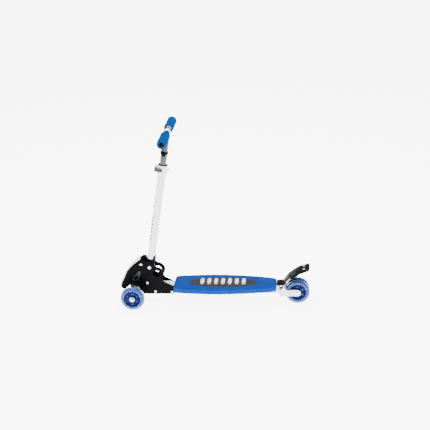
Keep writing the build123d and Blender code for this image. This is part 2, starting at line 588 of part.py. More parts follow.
# the clip holds each pulled-off handle in a springy C
HOOK_R = 7.0
HOOK_WALL = 2.2
HOOK_Y = RISER_R + CLIP_WALL + HOOK_R
mouth = Pos(-HOOK_R, 0) * Rectangle(2 * HOOK_R, HOOK_R * 1.5)
hook = Pos(0, HOOK_Y) * (Circle(HOOK_R + HOOK_WALL) - Circle(HOOK_R) - mouth)
clip_face = Circle(RISER_R + CLIP_WALL) + hook + mirror(hook, about=Plane.XZ)
clip_face -= Circle(RISER_R)
clip_face -= Pos(0, HOOK_Y) * Circle(HOOK_R)
clip_face -= Pos(0, -HOOK_Y) * Circle(HOOK_R)
parts["handle_clip"] = stem_frame * Pos(0, 0, CLIP_Z) * extrude(clip_face, amount=CLIP_H)


def push_button(z, stand, inner):
    """A round spring button through the front of the tube, with a collar inside it."""
    shank = Pos(-(stand + inner) / 2, 0, z) * Rot(0, 90, 0) * Cylinder(HOLE_R - RUN, stand - inner)
    return shank + Pos(-inner + 1.0, 0, z) * Rot(0, 90, 0) * Cylinder(HOLE_R + 1.2, 2.0)


BUTTON_STAND = 3.2
inside = RISER_R - RISER_WALL - 1.2
parts["height_button"] = stem_frame * push_button(BUTTON_Z, STEM_R + BUTTON_STAND, inside)
parts["bar_button"] = stem_frame * push_button(BAR_BUTTON_Z, RISER_R + 2.6, inside)

# ---- fender brake: sprung bracket on the fork, fender on a pin, brake block held by two rivets --
HINGE = (-(WHEEL_R + 17.0), 25.0)
KNUCKLE_R = 5.0
KNUCKLE_Y = 11.0
LUG_T = 3.0
FENDER_HALF = FORK_IN + 0.5
FOOT_HALF = FENDER_HALF - 5.0
FOOT_RISE = 8.0                          # foot plate above the hinge
FENDER_CREST = 8.5                       # how far the plate bulges above the line from bend to tip
TIP_CORNER = 8.0
foot_z = HINGE[1] + FOOT_RISE
foot_front = (DECK_REAR + 1.5, foot_z)
foot_back = (HINGE[0] + 10.0, foot_z)
bend = (-WHEEL_R * 0.72, WHEEL_R + 12.0)             # where the fender turns over the wheels
tail_tip = (WHEEL_R, WHEEL_R + 57.0)
chord = hypot(tail_tip[0] - bend[0], tail_tip[1] - bend[1])
rise = atan2(tail_tip[1] - bend[1], tail_tip[0] - bend[0])
crest = ((bend[0] + tail_tip[0]) / 2 - FENDER_CREST * sin(rise),
         (bend[1] + tail_tip[1]) / 2 + FENDER_CREST * cos(rise))
spine = FilletPolyline(foot_front, foot_back, bend, crest, tail_tip, radius=[12.0, 18.0, 70.0])
fender = across(trace(spine, line_width=FENDER_T), -FENDER_HALF, FENDER_HALF)


def under(start, end, along, down):
    """A place at this distance from start towards end and this depth under the line between them."""
    turn = atan2(end[1] - start[1], end[0] - start[0])
    return (start[0] + along * cos(turn) + down * sin(turn),
            start[1] + along * sin(turn) - down * cos(turn))


SKIRT_H = 9.0
skirt_face = rounded([
    (*under(bend, crest, 6.0, 0), 0.5), (*crest, 20.0), (*tail_tip, 0.5),
    (*under(crest, tail_tip, chord / 2, SKIRT_H * 0.6), 2.0),
    (*under(crest, tail_tip, 0, SKIRT_H), 20.0), (*under(bend, crest, 12.0, SKIRT_H), 4.0)])
skirt = across(skirt_face, FENDER_HALF - FENDER_SKIRT, FENDER_HALF)
fender += skirt + mirror(skirt, about=Plane.XZ)
plan = rounded([
    (foot_front[0], -FOOT_HALF, 4.0), (foot_back[0], -FOOT_HALF, 8.0), (bend[0], -FENDER_HALF, 8.0),
    (tail_tip[0], -FENDER_HALF, TIP_CORNER), (tail_tip[0], FENDER_HALF, TIP_CORNER),
    (bend[0], FENDER_HALF, 8.0), (foot_back[0], FOOT_HALF, 8.0), (foot_front[0], FOOT_HALF, 4.0)])
fender = fender & extrude(Pos(0, 0, -WHEEL_D) * plan, amount=4 * WHEEL_D)
web = block(HINGE[0] - KNUCKLE_R, HINGE[0] + KNUCKLE_R, -KNUCKLE_Y, KNUCKLE_Y, HINGE[1], foot_z)
fender += web + rod(HINGE, KNUCKLE_R, -KNUCKLE_Y, KNUCKLE_Y)
fender -= rod(HINGE, BOLT_R + RUN, -60, 60)
RIVET_R = 2.5
RIVET_Y = 14.0
RIVET_BACK = 24.0                        # rivets to the fender's tip
RIVET_HEAD_R = 4.6
RIVET_HEAD_H = 1.8
PAD_H = 12.0
PAD_STRIP = 3.5                          # thickness of the block's strip that the rivets hold
tip_slope = atan2(tail_tip[1] - crest[1], tail_tip[0] - crest[0])
rivet_x, rivet_z = under(tail_tip, crest, RIVET_BACK, 0)
head = Pos(0, 0, FENDER_T / 2 + RIVET_HEAD_H / 2) * Cylinder(RIVET_HEAD_R, RIVET_HEAD_H)
head = fillet(head.faces().sort_by(Axis.Z)[-1].edges(), RIVET_HEAD_H * 0.7)
shank_h = FENDER_T + PAD_STRIP
rivet = head + Pos(0, 0, FENDER_T / 2 - shank_h / 2) * Cylinder(RIVET_R, shank_h)
holes = [Pos(rivet_x, side * RIVET_Y, rivet_z) * Rot(0, -degrees(tip_slope), 0) for side in (-1, 1)]
for hole in holes:
    fender -= hole * Cylinder(RIVET_R + FIT, 20)
parts["fender"] = fender

low = FENDER_T / 2
block_face = rounded([
    (*under(bend, crest, 5.0, 0), 0.5), (*crest, 5.0),
    (*under(crest, tail_tip, chord / 2 - RIVET_BACK + 9.0, 0), 0.3),
    (*under(crest, tail_tip, chord / 2 - RIVET_BACK + 9.0, low + PAD_STRIP), 1.0),
    (*under(crest, tail_tip, 0, low + PAD_STRIP), 2.0),
    (*under(bend, crest, 36.0, low + PAD_H), 4.0), (*under(bend, crest, 5.0, low + PAD_H), 3.0)])
brake_pad = across(block_face, -RIVET_Y - 6.0, RIVET_Y + 6.0) - fender
for hole in holes:
    brake_pad -= hole * Cylinder(RIVET_R + FIT, 60)
parts["brake_pad"] = brake_pad.solids().sort_by(SortBy.VOLUME)[-1]
parts["fender_rivets"] = Compound([hole * rivet for hole in holes])

fork_top = FORK_H / 2
lug_back = HINGE[0] + 5.5
lug_top = HINGE[1] + 4.8
lug_face = rounded([(beam_end + FIT, fork_top, 0.5), (beam_end + FIT, lug_top, 3.0),
                    (lug_back, lug_top, 3.0), (lug_back, fork_top, 0.5)])
lug_face -= Pos(*HINGE) * Circle(BOLT_R + FIT)
lug = across(lug_face, KNUCKLE_Y + SIDE, KNUCKLE_Y + SIDE + LUG_T)
base = block(beam_end + FIT, lug_back, -KNUCKLE_Y - SIDE, KNUCKLE_Y + SIDE, fork_top, fork_top + LUG_T)
parts["fender_bracket"] = lug + mirror(lug, about=Plane.XZ) + base
PIN_HEAD_R = 4.2
PIN_HEAD_H = 1.5
pin_face = KNUCKLE_Y + SIDE + LUG_T
pin_end = pin_face + PIN_HEAD_H
pin_head = rod(HINGE, PIN_HEAD_R, pin_face, pin_end)
parts["fender_pin"] = rod(HINGE, BOLT_R, -pin_end, pin_end) + pin_head + mirror(pin_head, about=Plane.XZ)

# ---- to the row's frame: origin on the floor under the middle of the box -----------------------
box = Compound(list(parts.values())).bounding_box()
ORIGIN = Pos(-(box.min.X + box.max.X) / 2, 0, WHEEL_R)

if __name__ == "__main__":
    os.makedirs("parts", exist_ok=True)
    for name, solid in parts.items():
        export_step(ORIGIN * solid, f"parts/{name}.step")
    print("origin shift", ORIGIN.position.X, len(parts), "nodes", box.size)
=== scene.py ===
"""Looks of a child's folding kick scooter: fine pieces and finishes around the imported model."""

import json
from math import cos, pi, radians, sin

import bmesh
import bpy
from mathutils import Matrix, Vector


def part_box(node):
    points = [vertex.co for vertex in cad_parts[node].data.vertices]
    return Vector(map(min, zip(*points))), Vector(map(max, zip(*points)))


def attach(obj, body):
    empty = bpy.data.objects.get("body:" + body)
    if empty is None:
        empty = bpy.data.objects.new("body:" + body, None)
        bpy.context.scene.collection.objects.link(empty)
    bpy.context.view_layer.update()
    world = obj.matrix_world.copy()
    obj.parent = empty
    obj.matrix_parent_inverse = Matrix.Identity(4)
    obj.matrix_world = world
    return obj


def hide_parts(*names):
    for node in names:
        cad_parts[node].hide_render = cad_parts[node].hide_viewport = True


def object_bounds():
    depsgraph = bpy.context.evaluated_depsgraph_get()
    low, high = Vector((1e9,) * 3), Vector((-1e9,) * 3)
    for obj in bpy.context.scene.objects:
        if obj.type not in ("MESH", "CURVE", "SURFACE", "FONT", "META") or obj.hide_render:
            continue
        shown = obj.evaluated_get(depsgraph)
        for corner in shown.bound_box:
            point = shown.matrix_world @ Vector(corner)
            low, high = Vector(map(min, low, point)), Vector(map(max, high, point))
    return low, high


bl_info = {
    "name": "Kick Scooter Looks",
    "version": (1, 0, 0),
    "blender": (4, 5, 0),
    "location": "3D View > Sidebar > Scooter",
    "description": "Adds tyres, grips, fastener heads, trim and finishes to a packed kick scooter",
    "category": "Object",
}

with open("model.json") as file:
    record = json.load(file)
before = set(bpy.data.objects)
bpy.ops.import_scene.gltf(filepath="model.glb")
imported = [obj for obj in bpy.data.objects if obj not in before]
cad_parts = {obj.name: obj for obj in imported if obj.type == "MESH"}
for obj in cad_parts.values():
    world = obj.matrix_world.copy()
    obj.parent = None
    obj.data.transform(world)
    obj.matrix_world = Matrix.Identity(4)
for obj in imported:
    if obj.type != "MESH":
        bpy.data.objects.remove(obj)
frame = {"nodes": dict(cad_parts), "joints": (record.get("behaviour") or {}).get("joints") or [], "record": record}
CAD_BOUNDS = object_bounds()
MM = 0.001
DUST = (0.10, 0.09, 0.08, 1.0)
WORN_URETHANE = (0.45, 0.46, 0.47, 1.0)
WHEELS = ("front_left", "front_right", "rear_left", "rear_right")
WHOLE_TURN = 2 * pi
BEARING_R = 11.0 * MM
AXLE_R = 4.05 * MM
CORE_WEB = 6.0 * MM
CORE_RIBS = 6
LAMPS_EACH_SIDE = 5
AXIS_R = 0.01 * MM
JOINTS = {joint["name"]: joint for joint in frame["joints"]}


# ---- reading the frame -----------------------------------


def axes(origin, z_axis, y_axis=(0, 1, 0)):
    """A matrix whose Z runs along z_axis and whose Y stays across the scooter."""
    z = Vector(z_axis).normalized()
    x = Vector(y_axis).cross(z).normalized()
    y = z.cross(x)
    turn = Matrix((x, y, z)).transposed().to_4x4()
    return Matrix.Translation(Vector(origin)) @ turn


STEM = axes(JOINTS["stem_fold"]["pos_m"], JOINTS["height_slide"]["axis"])


def corners(points):
    """Low and high corners of the box round some points."""
    return (Vector(min(p[i] for p in points) for i in range(3)),
            Vector(max(p[i] for p in points) for i in range(3)))


def solids(node, place=Matrix.Identity(4)):
    """Low and high corners of each separate solid of a CAD node, measured in a place's own axes."""
    mesh = bmesh.new()
    mesh.from_mesh(frame["nodes"][node].data)
    bmesh.ops.remove_doubles(mesh, verts=mesh.verts, dist=1e-6)
    inverse = place.inverted()
    left, boxes = set(mesh.verts), []
    while left:
        stack, found = [left.pop()], []
        while stack:
            vert = stack.pop()
            found.append(inverse @ vert.co)
            for edge in vert.link_edges:
                other = edge.other_vert(vert)
                if other in left:
                    left.remove(other)
                    stack.append(other)
        boxes.append(corners(found))
    mesh.free()
    return sorted(boxes, key=lambda b: tuple(round(c, 5) for c in b[0]))


def measure(node, place=Matrix.Identity(4)):
    """Low and high corners of a whole CAD node in a place's own axes."""
    inverse = place.inverted()
    return corners([inverse @ v.co for v in frame["nodes"][node].data.vertices])


def girth(box):
    """Radius and length of a round piece that lies across the scooter."""
    low, high = box
    return (high.x - low.x) / 2, high.y - low.y


# ---- modelling steps -------------------------------------


def only(obj):
    """Select one object and make it the active one."""
    bpy.ops.object.select_all(action="DESELECT")
    obj.select_set(True)
    bpy.context.view_layer.objects.active = obj


def edit(obj):
    """Open one object in edit mode."""
    only(obj)
    bpy.ops.object.mode_set(mode="EDIT")


def leave_edit():
    """Go back to object mode, which also stores what was picked."""
    bpy.ops.object.mode_set(mode="OBJECT")


def primitive(kind, name, **values):
    """Add a primitive by its operator and name it."""
    bpy.ops.object.select_all(action="DESELECT")
    getattr(bpy.ops.mesh, f"primitive_{kind}_add")(**values)
    obj = bpy.context.active_object
    obj.name = name
    obj.data.name = name
    return obj


def modify(obj, kind, **values):
    """Add a modifier, set its fields and apply it."""
    made = obj.modifiers.new(kind.title(), kind)
    for field, value in values.items():
        setattr(made, field, value)
    only(obj)
    bpy.ops.object.modifier_apply(modifier=made.name)


def settle(obj, place=Matrix.Identity(4)):
    """Move an object to a place and put that place into its mesh."""
    obj.matrix_world = place @ obj.matrix_world
    only(obj)
    bpy.ops.object.transform_apply(location=True, rotation=True, scale=True)
    return obj


def mend(obj, distance=0.001 * MM):
    """Merge doubles and turn the faces outwards."""
    edit(obj)
    bpy.ops.mesh.select_all(action="SELECT")
    bpy.ops.mesh.remove_doubles(threshold=distance)
    bpy.ops.mesh.normals_make_consistent(inside=False)
    leave_edit()
    return obj


def smooth(obj, angle=35):
    """Shade smooth, except across edges sharper than the angle in degrees."""
    only(obj)
    bpy.ops.object.shade_smooth_by_angle(angle=radians(angle))
    return obj


def join(name, objects):
    """Join objects into the first one."""
    bpy.ops.object.select_all(action="DESELECT")
    for obj in objects:
        obj.select_set(True)
    bpy.context.view_layer.objects.active = objects[0]
    if len(objects) > 1:
        bpy.ops.object.join()
    objects[0].name = name
    objects[0].data.name = name
    return objects[0]


def copy(obj, name, place=Matrix.Identity(4)):
    """A copy with a mesh of its own, moved to a place."""
    twin = obj.copy()
    twin.data = obj.data.copy()
    twin.name = name
    twin.data.name = name
    bpy.context.scene.collection.objects.link(twin)
    return settle(twin, place)


def lathe(name, outline, steps=96):
    """Spin a closed outline of (radius, along) points about the Y axis."""
    obj = primitive("plane", name, size=1 * MM)
    edit(obj)
    bpy.ops.mesh.select_all(action="SELECT")
    bpy.ops.mesh.merge(type="CENTER")
    start = outline[0]
    bpy.ops.transform.translate(value=(start[0], start[1], 0))
    for (r0, a0), (r1, a1) in zip(outline, outline[1:] + [start]):
        bpy.ops.mesh.extrude_region_move(TRANSFORM_OT_translate={"value": (r1 - r0, a1 - a0, 0)})
    bpy.ops.mesh.select_all(action="SELECT")
    bpy.ops.mesh.spin(steps=steps, angle=WHOLE_TURN, center=(0, 0, 0), axis=(0, 1, 0))
    leave_edit()
    return mend(obj)


def arc(centre, radius, start, end, count):
    """Points of (radius, along) on an arc, angles in degrees from the outward direction."""
    turns = [radians(start + (end - start) * i / (count - 1)) for i in range(count)]
    return [(centre[0] + radius * cos(t), centre[1] + radius * sin(t)) for t in turns]


def bar(name, size, centre=(0, 0, 0), bevel=0.4 * MM, segments=2):
    """A block with rounded edges."""
    obj = primitive("cube", name, size=1, location=centre, scale=size)
    settle(obj)
    edit(obj)
    bpy.ops.mesh.select_all(action="SELECT")
    bpy.ops.mesh.bevel(offset=bevel, segments=segments, affect="EDGES")
    leave_edit()
    return obj


def finish_piece(obj, body, slot, replaces=(), finish=None):
    """Give a finished piece the material of its slot or finish, put it on its body and hide the CAD nodes that it
    replaces.
    """
    obj.data.materials.clear()
    obj.data.materials.append(MATERIALS[finish or slot])
    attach(obj, body)
    if replaces:
        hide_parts(*replaces)


# ---- shader building -------------------------------------


def feed(tree, node, inputs):
    """Feed a node's inputs with values or with other nodes' sockets."""
    for key, value in inputs.items():
        if isinstance(value, bpy.types.NodeSocket):
            tree.links.new(value, node.inputs[key])
        else:
            node.inputs[key].default_value = value


def put(tree, kind, inputs=None, **settings):
    """Add a node, set its fields and feed its inputs."""
    made = tree.nodes.new(kind)
    for field, value in settings.items():
        setattr(made, field, value)
    feed(tree, made, inputs or {})
    return made


def calc(tree, operation, *values, clamp=False):
    """One step of arithmetic on values or sockets."""
    made = put(tree, "ShaderNodeMath", dict(enumerate(values)), operation=operation, use_clamp=clamp)
    return made.outputs[0]


def blend_colour(tree, amount, low, high):
    """A colour between two others."""
    made = put(tree, "ShaderNodeMix", {0: amount, 6: low, 7: high}, data_type="RGBA", blend_type="MIX")
    return made.outputs[2]


def span(tree, value, from_low, from_high, to_low=0.0, to_high=1.0):
    """Map a value from one range to another, held at both ends."""
    made = put(tree, "ShaderNodeMapRange", {0: value, 1: from_low, 2: from_high, 3: to_low, 4: to_high})
    return made.outputs[0]


def new_group(name, inputs, outputs):
    """An empty shader group with named float inputs and outputs."""
    tree = bpy.data.node_groups.new(name, "ShaderNodeTree")
    for label, value in inputs.items():
        socket = tree.interface.new_socket(label, in_out="INPUT", socket_type="NodeSocketFloat")
        socket.default_value = value
    for label in outputs:
        tree.interface.new_socket(label, in_out="OUTPUT", socket_type="NodeSocketFloat")
    entry = tree.nodes.new("NodeGroupInput")
    leave = tree.nodes.new("NodeGroupOutput")
    return tree, entry, leave


def place_of(tree):
    """Object coordinates, which are metres in the scooter's own frame."""
    return put(tree, "ShaderNodeTexCoord").outputs["Object"]


def noise(tree, spot, scale, detail, roughness=0.5):
    """Plain noise at a place."""
    made = put(tree, "ShaderNodeTexNoise",
               {"Vector": spot, "Scale": scale, "Detail": detail, "Roughness": roughness})
    return made.outputs[0]


def grain_group():
    """Fine moulded or sprayed grain: a slow tone and a fine height."""
    tree, entry, leave = new_group("Fine Grain", {"Scale": 900.0, "Tone Scale": 30.0}, ["Tone", "Height"])
    spot = place_of(tree)
    fine = noise(tree, spot, entry.outputs["Scale"], 3.0)
    slow = noise(tree, spot, entry.outputs["Tone Scale"], 6.0)
    feed(tree, leave, {"Tone": span(tree, slow, 0.32, 0.68), "Height": fine})
    return tree


def scuff_group():
    """Sparse hairline scratches lengthwise and fainter ones crosswise."""
    tree, entry, leave = new_group("Hairline Scuffs", {"Amount": 0.3}, ["Mask"])
    spot = place_of(tree)
    masks = []
    for stretch, turn in (((12.0, 700.0, 300.0), 0.2), ((260.0, 14.0, 620.0), -0.35)):
        mapped = put(tree, "ShaderNodeMapping",
                     {"Vector": spot, "Rotation": (0.1, turn, turn), "Scale": stretch})
        masks.append(span(tree, noise(tree, mapped.outputs[0], 1.0, 2.0), 0.66, 0.72))
    where = span(tree, noise(tree, spot, 22.0, 3.0), 0.5, 0.64)
    both = calc(tree, "MAXIMUM", masks[0], masks[1])
    mask = calc(tree, "MULTIPLY", calc(tree, "MULTIPLY", both, where), entry.outputs["Amount"], clamp=True)
    tree.links.new(mask, leave.inputs["Mask"])
    return tree


def dust_group():
    """Road dust that thickens towards the floor, broken up by noise."""
    tree, entry, leave = new_group("Road Dust", {"Top": 0.12, "Amount": 0.25}, ["Mask"])
    spot = place_of(tree)
    height = put(tree, "ShaderNodeSeparateXYZ", {0: spot}).outputs["Z"]
    low = span(tree, height, 0.0, entry.outputs["Top"], 1.0, 0.0)
    broken = span(tree, noise(tree, spot, 160.0, 8.0, 0.7), 0.42, 0.72)
    mask = calc(tree, "MULTIPLY", calc(tree, "MULTIPLY", low, broken), entry.outputs["Amount"], clamp=True)
    tree.links.new(mask, leave.inputs["Mask"])
    return tree


def pore_group():
    """Closed-cell foam: small round pores of two sizes; the mask marks their hollows, where the foam gets painted
    shade.
    """
    tree, entry, leave = new_group("Foam Pores", {"Scale": 900.0}, ["Mask", "Height"])
    spot = place_of(tree)
    big = put(tree, "ShaderNodeTexVoronoi", {"Vector": spot, "Scale": entry.outputs["Scale"]})
    small_scale = calc(tree, "MULTIPLY", entry.outputs["Scale"], 2.3)
    small = put(tree, "ShaderNodeTexVoronoi", {"Vector": spot, "Scale": small_scale})
    pores = calc(tree, "MULTIPLY", span(tree, big.outputs["Distance"], 0.15, 0.5),
                 span(tree, small.outputs["Distance"], 0.1, 0.45, 0.55, 1.0))
    feed(tree, leave, {"Height": pores, "Mask": calc(tree, "SUBTRACT", 1.0, pores, clamp=True)})
    return tree


def glitter_group():
    """Flakes in tinted plastic: a few flake cells among many plain ones, each with a tilt that sets its painted
    glint.
    """
    tree, entry, leave = new_group("Glitter Flakes", {"Scale": 700.0, "Share": 0.12}, ["Mask", "Tilt"])
    spot = place_of(tree)
    cells = put(tree, "ShaderNodeTexVoronoi", {"Vector": spot, "Scale": entry.outputs["Scale"]})
    chance = put(tree, "ShaderNodeSeparateColor", {0: cells.outputs["Color"]})
    floor = calc(tree, "SUBTRACT", 1.0, entry.outputs["Share"])
    flakes = calc(tree, "GREATER_THAN", chance.outputs[0], floor)
    feed(tree, leave, {"Mask": flakes, "Tilt": chance.outputs[1]})
    return tree


GROUPS = {}


def shared(tree, name, **inputs):
    """Place one of the shared groups in a material with its own values."""
    made = put(tree, "ShaderNodeGroup", node_tree=GROUPS[name])
    for label, value in inputs.items():
        made.inputs[label.replace("_", " ").title()].default_value = value
    return made


def new_material(name):
    """An empty material with a Principled shader, and its tree."""
    material = bpy.data.materials.new(name)
    material.use_nodes = True
    tree = material.node_tree
    return material, tree, tree.nodes["Principled BSDF"]


def set_bump(tree, shader, height, distance, strength=0.5):
    """Feed a height to the shader's normal."""
    bump = put(tree, "ShaderNodeBump", {"Height": height, "Distance": distance, "Strength": strength})
    tree.links.new(bump.outputs[0], shader.inputs["Normal"])


def shade(colour, share):
    """A colour made darker or lighter, kept within white, with its alpha."""
    return tuple(min(1.0, c * share) for c in colour[:3]) + (1.0,)


def coated(name, colour, worn, roughness, grain=900.0, bump=0.04, scuff=0.3, dust=0.2, metallic=0.0,
           tone=0.9, shine=0.5):
    """A painted, plated or moulded finish: base tone, hairline scuffs, road dust and fine grain."""
    material, tree, shader = new_material(name)
    fine = shared(tree, "grain", scale=grain)
    scuffs = shared(tree, "scuffs", amount=scuff)
    dirt = shared(tree, "dust", amount=dust)
    base = blend_colour(tree, fine.outputs["Tone"], shade(colour, tone), shade(colour, 1.0))
    base = blend_colour(tree, scuffs.outputs["Mask"], base, shade(worn, 1.0))
    base = blend_colour(tree, dirt.outputs["Mask"], base, DUST)
    rough = span(tree, fine.outputs["Tone"], 0.0, 1.0, roughness * 0.85, roughness * 1.15)
    rough = calc(tree, "ADD", rough, calc(tree, "MULTIPLY", scuffs.outputs["Mask"], 0.25))
    rough = calc(tree, "ADD", rough, calc(tree, "MULTIPLY", dirt.outputs["Mask"], 0.3), clamp=True)
    feed(tree, shader, {"Base Color": base, "Roughness": rough, "Metallic": metallic,
                        "Specular IOR Level": shine})
    set_bump(tree, shader, fine.outputs["Height"], bump * MM)
    return material


# ---- finishes --------------------------------------------


def chrome(name, colour, roughness):
    """Plated steel with faint polishing lines."""
    return coated(name, colour, shade(colour, 1.5), roughness, grain=1500.0, bump=0.01, scuff=0.35,
                  dust=0.15, metallic=1.0)


def foam(name, colour):
    """Closed-cell grip foam: matt, with painted shade in its pores."""
    material, tree, shader = new_material(name)
    pores = shared(tree, "pores", scale=1100.0)
    fine = shared(tree, "grain", scale=2500.0)
    base = blend_colour(tree, fine.outputs["Tone"], shade(colour, 0.88), shade(colour, 1.0))
    # Painted shade: the foam's colour darkens where its pores are deep.
    pore_shade = calc(tree, "MULTIPLY", pores.outputs["Mask"], 0.45)
    base = blend_colour(tree, pore_shade, base, shade(colour, 0.45))
    rough = span(tree, pores.outputs["Height"], 0.0, 1.0, 0.95, 0.72)
    feed(tree, shader, {"Base Color": base, "Roughness": rough, "Specular IOR Level": 0.0,
                        "Sheen Weight": 0.005, "Sheen Roughness": 0.6})
    set_bump(tree, shader, pores.outputs["Height"], 0.22 * MM, 0.6)
    return material


def rubber(name, colour):
    """Matt moulded rubber."""
    return coated(name, colour, shade(colour, 2.5), 0.62, grain=1300.0, bump=0.08, scuff=0.25, tone=0.75,
                  shine=0.15)


def clear_tyre(name, colour):
    """Clear cast urethane: see-through, with fine wear and a trace of dust on the tread."""
    material, tree, shader = new_material(name)
    fine = shared(tree, "grain", scale=900.0)
    dirt = shared(tree, "dust", top=0.012, amount=0.25)
    base = blend_colour(tree, dirt.outputs["Mask"], shade(colour, 1.0), WORN_URETHANE)
    rough = span(tree, fine.outputs["Tone"], 0.0, 1.0, 0.0, 0.05)
    rough = calc(tree, "ADD", rough, calc(tree, "MULTIPLY", dirt.outputs["Mask"], 0.4), clamp=True)
    feed(tree, shader, {"Base Color": base, "Roughness": rough, "Transmission Weight": 0.9, "IOR": 1.33})
    return material


def tinted_core(name, colour, flake, share):
    """Deep blue moulding with real flakes in it, each lightened by a painted glint that follows its tilt."""
    material, tree, shader = new_material(name)
    flakes = shared(tree, "glitter", scale=420.0, share=share)
    fine = shared(tree, "grain", scale=800.0, tone_scale=70.0)
    base = blend_colour(tree, fine.outputs["Tone"], shade(colour, 0.45), shade(colour, 1.0))
    # Painted glint: each real flake is lightened in proportion to its tilt.
    flake_glint = calc(tree, "MULTIPLY", flakes.outputs["Mask"], flakes.outputs["Tilt"])
    base = blend_colour(tree, flake_glint, base, shade(flake, 1.0))
    rough = span(tree, flakes.outputs["Tilt"], 0.0, 1.0, 0.12, 0.3)
    feed(tree, shader, {"Base Color": base, "Roughness": rough, "Specular IOR Level": 0.05})
    set_bump(tree, shader, fine.outputs["Height"], 0.02 * MM)
    return material


MATERIALS = {}


def build_finishes(colours):
    """Make the shared groups and every finish, in the panel's colours."""
    GROUPS.update(grain=grain_group(), scuffs=scuff_group(), dust=dust_group(), pores=pore_group(),
                  glitter=glitter_group())
    white, black = tuple(colours.paint), tuple(colours.plates)
    primer, bare_black = shade(white, 0.55), (0.004, 0.004, 0.0045)
    MATERIALS.update({
        "deck_blue": coated("Deck Blue", tuple(colours.deck), (0.004, 0.05, 0.2), 0.4, grain=1500.0,
                            bump=0.10, scuff=0.25, dust=0.05, tone=0.8, shine=0.02),
        "pad_grey": rubber("Pad Grey", tuple(colours.pad)),
        "pad_print": coated("Pad Print", (0.62, 0.62, 0.61), (0.2, 0.2, 0.2), 0.5, grain=1300.0, bump=0.05,
                            scuff=0.6, dust=0.1, shine=0.2),
        "frame_white": coated("Frame White", white, primer, 0.3, grain=420.0, bump=0.05, scuff=0.25,
                              dust=0.3, tone=0.96, shine=0.4),
        "tube_white": coated("Tube White", white, primer, 0.28, grain=420.0, scuff=0.2, dust=0.0,
                             tone=0.97, shine=0.4),
        "plate_black": coated("Plate Black", black, bare_black, 0.4, grain=700.0, bump=0.06, dust=0.01,
                              shine=0.02),
        "stem_black": coated("Stem Black", black, bare_black, 0.38, grain=700.0, bump=0.05, dust=0.01,
                             shine=0.03),
        "cover_white": coated("Cover White", white, primer, 0.3, bump=0.03, scuff=0.25, dust=0.25,
                              tone=0.96, shine=0.4),
        "plastic_black": coated("Plastic Black", (0.0008, 0.0008, 0.001), (0.006, 0.006, 0.006), 0.42,
                                grain=1800.0, bump=0.08, dust=0.03, shine=0.03),
        "fender_grey": coated("Fender Grey", tuple(colours.fender), (0.008, 0.008, 0.008), 0.5, grain=1200.0,
                              bump=0.06, dust=0.01, shine=0.02),
        "rubber_black": rubber("Rubber Black", (0.004, 0.004, 0.0045)),
        "cast_aluminium": coated("Cast Aluminium", (0.36, 0.36, 0.37), (0.6, 0.6, 0.6), 0.45, grain=500.0,
                                 bump=0.15, scuff=0.4, dust=0.4, metallic=1.0, tone=0.8),
        "bolt_silver": chrome("Bolt Silver", (0.66, 0.66, 0.67), 0.24),
        # Painted shade: the zinc steel and the riser's chrome get near-black base colours that stand in for the
        # dark surroundings they reflect.
        "steel_zinc": chrome("Zinc Steel Shaded", (0.028, 0.028, 0.030), 0.36),
        "tube_chrome": chrome("Tube Chrome Shaded", (0.045, 0.046, 0.050), 0.2),
        "bearing_steel": chrome("Bearing Steel", (0.6, 0.6, 0.61), 0.2),
        "bearing_seal": rubber("Bearing Seal", (0.22, 0.22, 0.23)),
        "nylon": coated("Nylon", (0.55, 0.56, 0.58), (0.4, 0.4, 0.4), 0.45, grain=1500.0, scuff=0.2,
                        shine=0.3),
        "grip_foam": foam("Grip Foam", tuple(colours.grips)),
        "tyre_clear": clear_tyre("Tyre Clear", tuple(colours.tyre)),
        "core_blue": tinted_core("Core Blue", tuple(colours.core), (0.05, 0.16, 0.5), 0.02),
        "lamp_band": tinted_core("Lamp Band", (0.004, 0.11, 0.52), (0.30, 0.55, 0.9), 0.03),
    })


# ---- what a user may change ------------------------------


def colour_field(name, description, default):
    """A colour in the panel."""
    return bpy.props.FloatVectorProperty(name=name, description=description, subtype="COLOR", size=3,
                                         min=0.0, max=1.0, default=default)


def angle_field(name, description, default):
    """An angle in the panel, given in degrees."""
    return bpy.props.FloatProperty(name=name, description=description, default=radians(default),
                                   subtype="ANGLE")


def glow_field(name, description, default):
    """A brightness in the panel."""
    return bpy.props.FloatProperty(name=name, description=description, default=default,
                                   subtype="FACTOR", soft_max=8.0)


def length_field(name, description, default):
    """A length in the panel, given in millimetres."""
    return bpy.props.FloatProperty(name=name, description=description, default=default * MM, min=0.0,
                                   unit="LENGTH", precision=4)


class ScooterColours(bpy.types.PropertyGroup):
    """Colours of the moulded, painted and foam pieces."""

    deck: colour_field("Deck", "Moulded deck", (0.0, 0.024, 0.16))
    pad: colour_field("Pad", "Non-slip pad on the deck", (0.010, 0.010, 0.011))
    grips: colour_field("Grips", "Foam grips", (0.0, 0.032, 0.13))
    paint: colour_field("Paint", "White powder coat on the beam and tubes", (0.60, 0.61, 0.64))
    plates: colour_field("Plates", "Black powder coat on the side plates", (0.0010, 0.0010, 0.0014))
    fender: colour_field("Fender", "Moulded fender", (0.0025, 0.0025, 0.003))
    tyre: colour_field("Tyre", "Clear urethane", (0.10, 0.21, 0.42))
    core: colour_field("Core", "Tinted wheel core", (0.0, 0.0015, 0.055))


class ScooterSizes(bpy.types.PropertyGroup):
    """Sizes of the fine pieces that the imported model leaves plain."""

    tread_crown: length_field("Tread Crown", "Radius of the tyre's shoulders", 9.0)
    edge: length_field("Plate Edge", "Rounding on the edges of plates and brackets", 0.45)
    rib: length_field("Core Rib", "Height of the ribs on a wheel core", 2.4)
    dot_pitch: length_field("Dot Pitch", "Distance between the dots on the pad", 6.2)
    print_bar: length_field("Print Bar", "Width of each light bar on the pad", 15.0)


